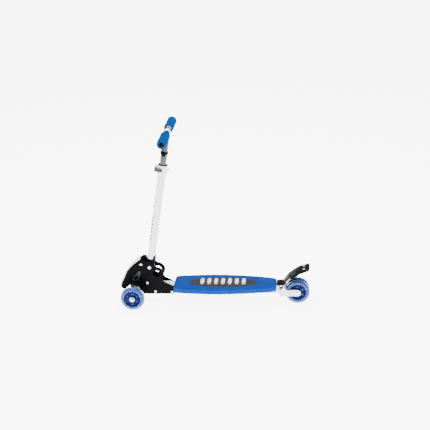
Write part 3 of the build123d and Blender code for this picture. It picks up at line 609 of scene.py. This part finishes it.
class ScooterStage(bpy.types.PropertyGroup):
    """Camera and light."""

    azimuth: angle_field("Azimuth", "Camera's turn round the scooter", 6.18)
    elevation: angle_field("Elevation", "Camera's height angle", 23.19)
    roll: angle_field("Roll", "Camera's roll", -2.58)
    distance: bpy.props.FloatProperty(name="Distance", description="Camera to the point it looks at",
                                      default=3.599, unit="LENGTH")
    lens: bpy.props.FloatProperty(name="Lens", description="Focal length in millimetres", default=75.35)
    zenith: glow_field("Zenith", "Brightness of the sky overhead", 2.4)
    horizon: glow_field("Horizon", "Brightness of the sky near the floor", 0.9)
    floor_glow: glow_field("Floor Glow", "Light that the pale floor adds", 5.2)


# ---- wheels ----------------------------------------------


def mirrored(half):
    """A closed outline from the half with positive 'along' values, listed from bore to tread."""
    return half + [(r, -a) for r, a in reversed(half) if abs(a) > 1e-9]


def tyre_outline(bore, radius, width, crown):
    """Section of the tyre: rounded inner edge, moulded groove, round shoulder and parting line."""
    half, inner_edge, parting = width / 2, 2 * MM, 0.15 * MM
    groove, groove_floor = bore + 4.2 * MM, half - 0.45 * MM
    outline = arc((bore + inner_edge, half - inner_edge), inner_edge, 180, 90, 5)
    outline += [(groove - 0.5 * MM, half), (groove - 0.2 * MM, groove_floor),
                (groove + 0.2 * MM, groove_floor), (groove + 0.5 * MM, half)]
    outline += arc((radius - crown, half - crown), crown - parting, 88, 2, 16)
    outline += [(radius - parting, 0.5 * MM), (radius, 0.0)]
    return mirrored(outline)


def core_outline(radius, width):
    """Section of the core: bearing seats, hub, dished web and rim."""
    half, seat, chamfer = width / 2, 4.5 * MM, 0.8 * MM
    low_fillet, high_fillet, rim_face = CORE_WEB + 0.4 * MM, CORE_WEB + 1.6 * MM, half - 1.5 * MM
    hub = [(8.0 * MM, seat), (BEARING_R, seat), (BEARING_R, half), (13.4 * MM, half),
           (14.2 * MM, half - chamfer)]
    web = [(14.7 * MM, high_fillet), (15.6 * MM, low_fillet), (17.0 * MM, CORE_WEB), (27.0 * MM, CORE_WEB),
           (28.6 * MM, low_fillet), (29.4 * MM, high_fillet)]
    rim = [(29.9 * MM, half - 2.2 * MM), (30.7 * MM, rim_face), (radius - chamfer, rim_face),
           (radius, rim_face - chamfer)]
    return mirrored(hub + web + rim)


def wheel_place(wheel):
    """The wheel's centre."""
    return Matrix.Translation(Vector(JOINTS[wheel + "_spin"]["pos_m"]))


def ribbed_core(radius, width, rib):
    """The core with its ribs on both sides of the web."""
    parts = [smooth(lathe("core_master", core_outline(radius, width), 96), 30)]
    for i in range(CORE_RIBS):
        turn = Matrix.Rotation(i * WHOLE_TURN / CORE_RIBS, 4, "Y")
        for side in (-1, 1):
            spoke = bar("rib", (14.4 * MM, 2 * rib, 3.2 * MM), (22.0 * MM, side * CORE_WEB, 0), 0.7 * MM, 3)
            parts.append(smooth(settle(spoke, turn), 50))
    return join("core_master", parts)


def lamp_band(radius):
    """The translucent band round the core, with a shallow dome between each two ribs."""
    section = [(radius - 0.6 * MM, 4.0 * MM), (radius - 0.6 * MM, 8.0 * MM), (radius + 5.0 * MM, 6.5 * MM),
               (radius + 9.5 * MM, 3.0 * MM), (radius + 10.0 * MM, 1.5 * MM)]
    parts = [smooth(lathe("band", mirrored(section), 96), 30)]
    for i in range(CORE_RIBS):
        between = Matrix.Rotation((i + 0.5) * WHOLE_TURN / CORE_RIBS, 4, "Y")
        for side in (-1, 1):
            dome = primitive("uv_sphere", "lamp", segments=16, ring_count=8, radius=2.6 * MM,
                             location=(22.5 * MM, side * CORE_WEB, 0))
            dome.scale.y = 0.6
            parts.append(smooth(settle(dome, between), 60))
    return join("band_master", parts)


def lamp_modules(radius):
    """Pale lamp modules set in both faces of the band, those of one face between those of the other."""
    size = (4.0 * MM, 2.0 * MM, 8.0 * MM)
    modules = []
    for i in range(LAMPS_EACH_SIDE):
        for side in (-1, 1):
            module = bar("module", size, (radius + 2.0 * MM, side * 7.6 * MM, 0), 0.7 * MM, 3)
            turn = Matrix.Rotation((i + 0.3 * side) * WHOLE_TURN / LAMPS_EACH_SIDE, 4, "Y")
            modules.append(smooth(settle(module, turn), 50))
    return join("lamp_master", modules)


class SCOOTER_OT_tyres(bpy.types.Operator):
    """Model one clear tyre and put a copy on each wheel"""

    bl_idname = "scooter.tyres"
    bl_label = "Tyres"

    def execute(self, context):
        radius, width = girth(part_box("front_left_tyre"))
        bore = girth(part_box("front_left_core"))[0] + 0.15 * MM
        crown = context.scene.scooter_sizes.tread_crown
        master = lathe("tyre_master", tyre_outline(bore, radius, width, crown), 128)
        smooth(master, 40)
        for wheel in WHEELS:
            tyre = copy(master, wheel + "_clear_tyre", wheel_place(wheel))
            finish_piece(tyre, wheel + "_wheel", "tyre_clear", [wheel + "_tyre"])
        bpy.data.objects.remove(master)
        return {"FINISHED"}


class SCOOTER_OT_cores(bpy.types.Operator):
    """Model one ribbed core with its lamp band and lamps and put a copy on each wheel"""

    bl_idname = "scooter.cores"
    bl_label = "Wheel Cores"

    def execute(self, context):
        radius, width = girth(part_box("front_left_core"))
        core = ribbed_core(radius, width, context.scene.scooter_sizes.rib)
        band = lamp_band(radius)
        lamps = lamp_modules(radius)
        for wheel in WHEELS:
            body, place = wheel + "_wheel", wheel_place(wheel)
            finish_piece(copy(core, wheel + "_ribbed_core", place), body, "core_blue", [wheel + "_core"])
            finish_piece(copy(band, wheel + "_lamp_band", place), body, "core_blue", finish="lamp_band")
            finish_piece(copy(lamps, wheel + "_lamps", place), body, "core_blue", finish="pad_print")
        for master in (core, band, lamps):
            bpy.data.objects.remove(master)
        return {"FINISHED"}


class SCOOTER_OT_bearings(bpy.types.Operator):
    """Model one shielded bearing and press two into each wheel"""

    bl_idname = "scooter.bearings"
    bl_label = "Bearings"

    def execute(self, context):
        face, floor = 3.5 * MM, 2.95 * MM
        inner_race, outer_race, lip, edge = 6.3 * MM, 8.9 * MM, 0.2 * MM, 0.4 * MM
        steel = lathe("bearing_master", mirrored([
            (AXLE_R, face - 0.3 * MM), (AXLE_R + 0.3 * MM, face), (inner_race - lip, face),
            (inner_race, floor), (outer_race, floor), (outer_race + lip, face),
            (BEARING_R - edge, face), (BEARING_R, face - edge)]), 64)
        shield_in, shield_out, back = inner_race + 0.05 * MM, outer_race - 0.05 * MM, face - 0.9 * MM
        shield = lathe("shield_master", [
            (shield_in, back), (shield_out, back), (shield_out, face - 0.3 * MM),
            ((shield_in + shield_out) / 2, face - 0.2 * MM), (shield_in, face - 0.3 * MM)], 64)
        smooth(steel, 30)
        smooth(shield, 30)
        for wheel in WHEELS:
            rings, shields = [], []
            for i, (low, high) in enumerate(sorted(solids(wheel + "_bearings"), key=lambda b: b[0].y)):
                flip = Matrix.Rotation(pi * (1 - i), 4, "Z")
                place = Matrix.Translation((low + high) / 2) @ flip
                rings.append(copy(steel, "ring", place))
                shields.append(copy(shield, "shield", place))
            pair = join(wheel + "_bearing_rings", rings)
            finish_piece(pair, wheel + "_wheel", "bearing_steel", [wheel + "_bearings"])
            seals = join(wheel + "_bearing_shields", shields)
            finish_piece(seals, wheel + "_wheel", "bearing_steel", finish="bearing_seal")
        for master in (steel, shield):
            bpy.data.objects.remove(master)
        return {"FINISHED"}


# ---- fasteners and small metalwork -----------------------


def socket_head(name, radius, height, shank):
    """A domed head with a hexagon socket, standing towards -Y on the plane of Y = 0."""
    rim, sunk = 0.18, 0.3 * MM
    outline = [(AXIS_R, sunk), (shank, sunk), (radius, 0.0), (radius, -height * rim)]
    for angle in range(15, 76, 12):
        turn = radians(angle)
        outline.append((radius * cos(turn), -height * (rim + (1 - rim) * sin(turn))))
    outline.append((AXIS_R, -height))
    head = lathe(name, outline, 40)
    cutter = primitive("cylinder", "cutter", vertices=6, radius=radius * 0.42, depth=height,
                       location=(0, -height * 0.95, 0), rotation=(pi / 2, 0, 0))
    settle(cutter)
    modify(head, "BOOLEAN", object=cutter, operation="DIFFERENCE", solver="EXACT")
    bpy.data.objects.remove(cutter)
    return smooth(mend(head), 32)


def hex_nut(name, radius, height, bore):
    """A chamfered nut towards +Y from the plane of Y = 0, with its flange and the thread's end."""
    nut = primitive("cylinder", name, vertices=6, radius=radius, depth=height,
                    location=(0, height / 2, 0), rotation=(pi / 2, 0, 0))
    settle(nut)
    edit(nut)
    bpy.ops.mesh.select_all(action="SELECT")
    bpy.ops.mesh.bevel(offset=radius * 0.07, segments=2, affect="EDGES")
    leave_edit()
    flange_r, flange_t = radius * 1.08, 0.8 * MM
    washer = lathe("washer", [(bore, 0.0), (flange_r, 0.0), (flange_r, flange_t), (bore, flange_t)], 40)
    pitch, end = 0.8 * MM, height + 1.4 * MM
    thread = [(AXIS_R, 0.0)]
    for i in range(3):
        along = height + (i - 1) * pitch
        thread += [(bore, along), (bore - 0.35 * MM, along + pitch / 2)]
    thread += [(bore - 0.6 * MM, end), (AXIS_R, end)]
    return join(name, [smooth(nut, 30), smooth(washer, 30), smooth(lathe("thread", thread, 32), 30)])


def through_bolts(node, plate, shank):
    """Every bolt of a CAD node: head on one plate, shank through the gap, nut on the other plate."""
    made = []
    for low, high in solids(node):
        radius = (high.x - low.x) / 2
        middle = Vector(((low.x + high.x) / 2, 0, (low.z + high.z) / 2))
        head = socket_head("head", radius, -plate - low.y, shank)
        settle(head, Matrix.Translation(middle + Vector((0, -plate, 0))))
        nut = hex_nut("nut", radius, (high.y - plate) * 0.75, shank)
        settle(nut, Matrix.Translation(middle + Vector((0, plate, 0))))
        rod = primitive("cylinder", "shank", vertices=32, radius=shank, depth=2 * plate,
                        location=middle, rotation=(pi / 2, 0, 0))
        made += [head, nut, smooth(settle(rod), 30)]
    finish_piece(join(node + "_hardware", made), "deck_frame", "bolt_silver", [node])


def lock_nuts():
    """The two nuts of the front axle, each with its nylon ring."""
    nuts, nylon = [], []
    for low, high in solids("front_axle_nuts"):
        side = 1 if high.y > 0 else -1
        face = low.y if side > 0 else high.y
        radius, depth = girth((low, high))
        ring_bore, ring_start = 4.3 * MM, depth * 0.7
        flip = Matrix.Rotation(0 if side > 0 else pi, 4, "Z")
        place = Matrix.Translation(((low.x + high.x) / 2, face, (low.z + high.z) / 2)) @ flip
        nuts.append(settle(hex_nut("nut", radius, depth * 0.72, AXLE_R), place))
        ring = lathe("collar", [(ring_bore, ring_start), (radius * 0.86, ring_start),
                                (radius * 0.8, depth * 0.95), (radius * 0.7, depth), (ring_bore, depth)], 40)
        nylon.append(settle(smooth(ring, 30), place))
    finish_piece(join("front_lock_nuts", nuts), "truck", "bolt_silver", ["front_axle_nuts"])
    finish_piece(join("nylon_rings", nylon), "truck", "bolt_silver", finish="nylon")


class SCOOTER_OT_fasteners(bpy.types.Operator):
    """Socket-head bolts, nuts and the front axle's lock nuts"""

    bl_idname = "scooter.fasteners"
    bl_label = "Fasteners"

    def execute(self, context):
        plates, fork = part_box("side_plate_right")[1].y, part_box("rear_fork")[1].y
        through_bolts("plate_bolts", plates, 3.0 * MM)
        through_bolts("fold_bolt", plates, 4.0 * MM)
        through_bolts("rear_axle", fork, 4.0 * MM)
        lock_nuts()
        return {"FINISHED"}


# ---- stem ------------------------------------------------


def hole_shade_liners(front, heights):
    """A black ring in each of the stem's holes, as painted shade for the dark inside the hole."""
    hole, wall = 3.1 * MM, 1.8 * MM
    inside, fit, flange = hole - 0.9 * MM, hole - 0.05 * MM, wall + 0.5 * MM
    outline = [(inside, 0.0), (fit, 0.0), (fit, wall), (hole + 0.5 * MM, wall),
               (hole + 0.35 * MM, flange), (inside, flange - 0.15 * MM)]
    # Painted shade: a black ring that darkens the inside of each hole.
    ring = smooth(lathe("shade_liner", outline, 32), 30)
    facing = Matrix.Rotation(pi / 2, 4, "Z")
    made = [copy(ring, "shade_liner", STEM @ Matrix.Translation((front + wall, 0, height)) @ facing)
            for height in heights]
    bpy.data.objects.remove(ring)
    finish_piece(join("hole_shade_liners", made), "stem", "stem_black", finish="plastic_black")


def height_marks(radius, heights):
    """A thin curved bar on both sides of each hole, laid on the front of the tube."""
    near, far = 3.6 * MM, 14.5 * MM
    mark = primitive("cylinder", "mark", vertices=180, radius=radius + 0.02 * MM, depth=5.2 * MM,
                     end_fill_type="NOTHING")
    edit(mark)
    bpy.ops.mesh.select_all(action="DESELECT")
    leave_edit()
    for face in mark.data.polygons:
        face.select = face.center.x >= 0 or not near < abs(face.center.y) < far
    edit(mark)
    bpy.ops.mesh.delete(type="FACE")
    leave_edit()
    modify(mark, "SOLIDIFY", thickness=0.16 * MM, offset=1.0)
    marks = [copy(mark, "mark", STEM @ Matrix.Translation((0, 0, height))) for height in heights]
    bpy.data.objects.remove(mark)
    finish_piece(smooth(join("height_marks", marks), 30), "stem", "stem_black", finish="plastic_black")


def ridged_knob():
    """The clamp's knob with ridges for the fingers."""
    low, high = measure("clamp_knob", STEM)
    radius, length = girth((low, high))
    middle, bore, ridges = (low + high) / 2, 2.65 * MM, 18
    body_r = radius * 0.93
    knob = lathe("knob", [(bore, 0.0), (radius * 0.86, 0.0), (body_r, 0.4 * MM), (body_r, length - 1.0 * MM),
                          (radius * 0.8, length), (bore, length)], 40)
    parts = [smooth(knob, 30)]
    for i in range(ridges):
        ridge = bar("ridge", (0.9 * MM, length * 0.7, 0.9 * MM), (body_r, length * 0.48, 0), 0.25 * MM)
        parts.append(settle(ridge, Matrix.Rotation(i * WHOLE_TURN / ridges, 4, "Y")))
    knob = settle(join("ridged_knob", parts), STEM @ Matrix.Translation((middle.x, low.y, middle.z)))
    finish_piece(knob, "stem", "plastic_black", ["clamp_knob"])


def beads(name, centre, axis, radius, size, count):
    """A weld: a ring of small overlapping ripples about an axis."""
    spot = axes(centre, axis)
    ripple = primitive("uv_sphere", "ripple", segments=10, ring_count=6, radius=size)
    settle(ripple, Matrix.Diagonal((1.0, 1.25, 0.9, 1.0)))
    out = Matrix.Translation((radius, 0, 0))
    ring = [copy(ripple, name, spot @ Matrix.Rotation(WHOLE_TURN * i / count, 4, "Z") @ out)
            for i in range(count)]
    bpy.data.objects.remove(ripple)
    return smooth(join(name, ring), 60)


class SCOOTER_OT_shade_liners(bpy.types.Operator):
    """Black rings as painted shade in the stem's row of holes, marks at the holes and a ridged knob on the clamp
    """

    bl_idname = "scooter.liners"
    bl_label = "Hole Shade Liners and Knob"

    def execute(self, context):
        low, high = measure("stem_tube", STEM)
        button_low, button_high = measure("height_button", STEM)
        top = (button_low.z + button_high.z) / 2 + JOINTS["height_slide"]["range_m"][0]
        pitch, count = 16.45 * MM, 7
        heights = [top - i * pitch for i in range(count)]
        # The top hole takes the button when the riser is down, so it gets no painted-shade ring.
        hole_shade_liners(low.x, heights[1:])
        height_marks(high.x, heights)
        ridged_knob()
        return {"FINISHED"}


class SCOOTER_OT_welds(bpy.types.Operator):
    """Weld beads where the handlebar and the stem are joined"""

    bl_idname = "scooter.welds"
    bl_label = "Welds"

    def execute(self, context):
        up = STEM.to_3x3() @ Vector((0, 0, 1))
        bar_foot = measure("bar_centre", STEM)[0].z
        lug = beads("bar_weld", STEM @ Vector((0, 0, bar_foot)), up, 14.0 * MM, 1.1 * MM, 40)
        finish_piece(lug, "riser", "tube_white")
        socket_seat = measure("stem_socket", STEM)[1].z - 14.5 * MM
        foot = beads("socket_weld", STEM @ Vector((0, 0, socket_seat)), up, 16.6 * MM, 1.2 * MM, 44)
        finish_piece(foot, "stem", "stem_black")
        return {"FINISHED"}


# ---- grips -----------------------------------------------


def foam_grip(word, radius, length, bore, place):
    """A foam sleeve with rounded ends and a slight waist."""
    ends, waist = 6.0 * MM, 0.25 * MM
    outline = [(bore, 0.0)] + arc((radius - ends, ends), ends, 265, 360, 12)
    outline += [(radius - waist, length * 0.5)]
    outline += arc((radius - ends, length - ends), ends, 0, 95, 12) + [(bore, length)]
    grip = smooth(lathe("foam_grip_" + word, outline, 72), 50)
    settle(grip, place)
    finish_piece(grip, word + "_handle", "grip_foam", ["grip_" + word])


def end_cap(word, radius, reach, bore, place):
    """A plug in the end of a handle, with a rounded lip and a dimple in its face."""
    lip, sunk, root, dimple = 1.2 * MM, 2.0 * MM, 12.0 * MM, 0.8 * MM
    face = reach + sunk
    outline = [(0.001 * MM, -root), (bore - 2.2 * MM, -root), (bore - 1.8 * MM, -sunk), (radius, -sunk),
               (radius, face - lip), (radius - 0.4 * MM, face - 0.35 * MM), (radius - lip, face),
               (3.4 * MM, face), (2.8 * MM, face - dimple), (0.001 * MM, face - dimple)]
    plug = smooth(lathe("end_cap_" + word, outline, 48), 35)
    settle(plug, place @ Matrix.Translation((0, -sunk, 0)))
    finish_piece(plug, word + "_handle", "plastic_black", ["end_plug_" + word])


class SCOOTER_OT_grips(bpy.types.Operator):
    """Turn the foam grips and their end plugs"""

    bl_idname = "scooter.grips"
    bl_label = "Grips"

    def execute(self, context):
        for word, side in (("left", -1), ("right", 1)):
            low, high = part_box("grip_" + word)
            inner, outer = (low.y, high.y) if side > 0 else (high.y, low.y)
            radius, length = girth((low, high))
            bore = girth(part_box("handle_" + word))[0] + 0.05 * MM
            middle = (low + high) / 2
            flip = Matrix.Rotation(0 if side > 0 else pi, 4, "Z")
            start = Matrix.Translation((middle.x, inner, middle.z)) @ flip
            end = Matrix.Translation((middle.x, outer, middle.z)) @ flip
            foam_grip(word, radius, length, bore, start)
            plug_low, plug_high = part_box("end_plug_" + word)
            tip = plug_high.y if side > 0 else -plug_low.y
            end_cap(word, girth((plug_low, plug_high))[0], tip - abs(outer), bore, end)
        return {"FINISHED"}


# ---- deck ------------------------------------------------


def spread(name, master, spots):
    """One piece made of a small shape repeated at many spots."""
    base = [v.co.copy() for v in master.data.vertices]
    faces = [tuple(p.vertices) for p in master.data.polygons]
    verts, polygons = [], []
    for spot in spots:
        start = len(verts)
        verts += [v + Vector(spot) for v in base]
        polygons += [tuple(start + i for i in face) for face in faces]
    mesh = bpy.data.meshes.new(name)
    mesh.from_pydata(verts, [], polygons)
    obj = bpy.data.objects.new(name, mesh)
    bpy.context.scene.collection.objects.link(obj)
    bpy.data.objects.remove(master)
    return obj


def print_bar(x, top, width, length):
    """A light bar with round ends, flush on the pad."""
    pill = primitive("cube", "print_bar", size=1, location=(x, 0, top + 0.05 * MM),
                     scale=(width, length, 0.7 * MM))
    settle(pill)
    edit(pill)
    bpy.ops.mesh.select_all(action="DESELECT")
    leave_edit()
    for edge in pill.data.edges:
        a, b = (pill.data.vertices[v].co for v in edge.vertices)
        edge.select = abs(a.z - b.z) > 0.1 * MM
    edit(pill)
    bpy.ops.mesh.bevel(offset=width * 0.49, segments=10, affect="EDGES")
    leave_edit()
    return smooth(pill, 40)


def dot_spots(middle, top, half_x, half_y, field_x, field_y, pitch):
    """Places of the dots: staggered rows inside the oval, outside the field of light bars."""
    row_pitch = pitch * 0.866
    rows, columns = int(half_y / row_pitch), int(half_x / pitch) + 1
    spots = []
    for j in range(-rows, rows + 1):
        y = j * row_pitch
        for i in range(-columns, columns + 1):
            x = (i + 0.5 * (j % 2)) * pitch
            inside = (x / (half_x - 5 * MM)) ** 2 + (y / (half_y - 4 * MM)) ** 2 < 1
            if inside and (abs(x) > field_x or abs(y) > field_y):
                spots.append((middle.x + x, y, top - 0.1 * MM))
    return spots


class SCOOTER_OT_pad(bpy.types.Operator):
    """Set non-slip dots and a plain row of light bars on the deck pad"""

    bl_idname = "scooter.pad"
    bl_label = "Deck Pad"

    def execute(self, context):
        sizes = context.scene.scooter_sizes
        low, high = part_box("deck_pad")
        middle, top = (low + high) / 2, high.z
        half_x, half_y = (high.x - low.x) / 2, (high.y - low.y) / 2
        bars, bar_pitch, bar_length = 7, 28.5 * MM, 42.0 * MM
        first = middle.x - (bars - 1) / 2 * bar_pitch
        prints = [print_bar(first + i * bar_pitch, top, sizes.print_bar, bar_length) for i in range(bars)]
        finish_piece(join("pad_print_bars", prints), "deck_frame", "pad_grey", finish="pad_print")
        field_x, field_y = bars * bar_pitch / 2, bar_length / 2 + 2.0 * MM
        dot = primitive("uv_sphere", "dot", segments=10, ring_count=6, radius=1.25 * MM)
        dot.scale.z = 0.55
        spots = dot_spots(middle, top, half_x, half_y, field_x, field_y, sizes.dot_pitch)
        dots = smooth(spread("pad_dots", settle(dot), spots), 60)
        finish_piece(dots, "deck_frame", "pad_grey")
        return {"FINISHED"}


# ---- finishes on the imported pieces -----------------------


class SCOOTER_OT_finishes(bpy.types.Operator):
    """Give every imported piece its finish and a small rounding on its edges"""

    bl_idname = "scooter.finishes"
    bl_label = "Finishes"

    def execute(self, context):
        slots = {row["node"]: row["material_slot"] for row in frame["record"]["subparts"]}
        for node, obj in frame["nodes"].items():
            obj.data.materials.clear()
            obj.data.materials.append(MATERIALS[slots[node]])
            weld = obj.modifiers.new("Weld", "WELD")
            weld.merge_threshold = 0.002 * MM
            bevel = obj.modifiers.new("Edge", "BEVEL")
            bevel.limit_method = "ANGLE"
            bevel.angle_limit = radians(38)
            bevel.width = context.scene.scooter_sizes.edge
            bevel.segments = 2
            bevel.harden_normals = False
        return {"FINISHED"}


# ---- stage -----------------------------------------------


def pale_floor(glow):
    """A wide matt floor that gives off some light of its own."""
    floor = primitive("plane", "floor", size=40)
    material, tree, shader = new_material("Pale Floor")
    slow = noise(tree, place_of(tree), 1.2, 2.0)
    tone = blend_colour(tree, slow, (0.92, 0.92, 0.93, 1.0), (0.94, 0.94, 0.945, 1.0))
    feed(tree, shader, {"Base Color": tone, "Roughness": 0.8, "Specular IOR Level": 0.1,
                        "Emission Color": (1.0, 1.0, 1.0, 1.0), "Emission Strength": glow})
    floor.data.materials.append(material)


def studio_sky(horizon, zenith):
    """A pale sky, brighter overhead than near the floor."""
    world = bpy.data.worlds.new("Studio")
    world.use_nodes = True
    tree = world.node_tree
    background = tree.nodes["Background"]
    direction = put(tree, "ShaderNodeTexCoord").outputs["Generated"]
    height = put(tree, "ShaderNodeSeparateXYZ", {0: direction}).outputs["Z"]
    strength = span(tree, height, 0.05, 0.75, horizon, zenith)
    feed(tree, background, {"Strength": strength, "Color": (0.98, 0.99, 1.0, 1.0)})
    bpy.context.scene.world = world


def soft_light(name, place, size, power):
    """A square light that points at the scooter."""
    light = bpy.data.lights.new(name, "AREA")
    light.size = size
    light.energy = power
    lamp = bpy.data.objects.new(name, light)
    lamp.location = place
    lamp.rotation_euler = (Vector((0, 0, 0.3)) - Vector(place)).to_track_quat("-Z", "Y").to_euler()
    bpy.context.scene.collection.objects.link(lamp)


def aim_camera(view):
    """Put the camera at its angle and distance from a point in the scooter's middle plane."""
    turn, rise = view.azimuth, view.elevation
    back = Vector((sin(turn) * cos(rise), -cos(turn) * cos(rise), sin(rise)))
    low, high = CAD_BOUNDS
    target = Vector(((low[0] + high[0]) / 2 + 15 * MM, 0, high[2] * 0.5112))
    lens = bpy.data.cameras.new("camera")
    lens.lens = view.lens
    lens.sensor_width = 36
    camera = bpy.data.objects.new("camera", lens)
    bpy.context.scene.collection.objects.link(camera)
    aim = (-back).to_track_quat("-Z", "Y").to_matrix().to_4x4()
    place = Matrix.Translation(target + back * view.distance)
    camera.matrix_world = place @ aim @ Matrix.Rotation(view.roll, 4, "Z")
    bpy.context.scene.camera = camera


class SCOOTER_OT_stage(bpy.types.Operator):
    """Lay a pale floor and set soft studio light and the camera"""

    bl_idname = "scooter.stage"
    bl_label = "Stage"

    def execute(self, context):
        view = context.scene.scooter_stage
        pale_floor(view.floor_glow)
        studio_sky(view.horizon, view.zenith)
        soft_light("overhead", (-0.2, 0.3, 3.4), 3.0, 260.0)
        soft_light("front", (-1.4, -3.0, 1.9), 1.8, 60.0)
        aim_camera(view)
        return {"FINISHED"}


class SCOOTER_PT_looks(bpy.types.Panel):
    """Panel in the 3D view's sidebar"""

    bl_label = "Scooter"
    bl_idname = "SCOOTER_PT_looks"
    bl_space_type = "VIEW_3D"
    bl_region_type = "UI"
    bl_category = "Scooter"

    def draw(self, context):
        scene = context.scene
        for settings in (scene.scooter_colours, scene.scooter_sizes, scene.scooter_stage):
            column = self.layout.column()
            for field in settings.bl_rna.properties.keys():
                if field not in {"rna_type", "name"}:
                    column.prop(settings, field)
        for operator in OPERATORS:
            self.layout.operator(operator.bl_idname)


SETTINGS = {"scooter_colours": ScooterColours, "scooter_sizes": ScooterSizes, "scooter_stage": ScooterStage}
OPERATORS = (SCOOTER_OT_tyres, SCOOTER_OT_cores, SCOOTER_OT_bearings, SCOOTER_OT_fasteners,
             SCOOTER_OT_shade_liners, SCOOTER_OT_welds, SCOOTER_OT_grips, SCOOTER_OT_pad, SCOOTER_OT_finishes,
             SCOOTER_OT_stage)


def register():
    for field, settings in SETTINGS.items():
        bpy.utils.register_class(settings)
        setattr(bpy.types.Scene, field, bpy.props.PointerProperty(type=settings))
    for made in (*OPERATORS, SCOOTER_PT_looks):
        bpy.utils.register_class(made)


def unregister():
    for made in (SCOOTER_PT_looks, *reversed(OPERATORS)):
        bpy.utils.unregister_class(made)
    for field, settings in SETTINGS.items():
        delattr(bpy.types.Scene, field)
        bpy.utils.unregister_class(settings)


def main():
    register()
    build_finishes(bpy.context.scene.scooter_colours)
    for operator in OPERATORS:
        group, name = operator.bl_idname.split(".")
        getattr(getattr(bpy.ops, group), name)()


if __name__ == "__main__":
    main()
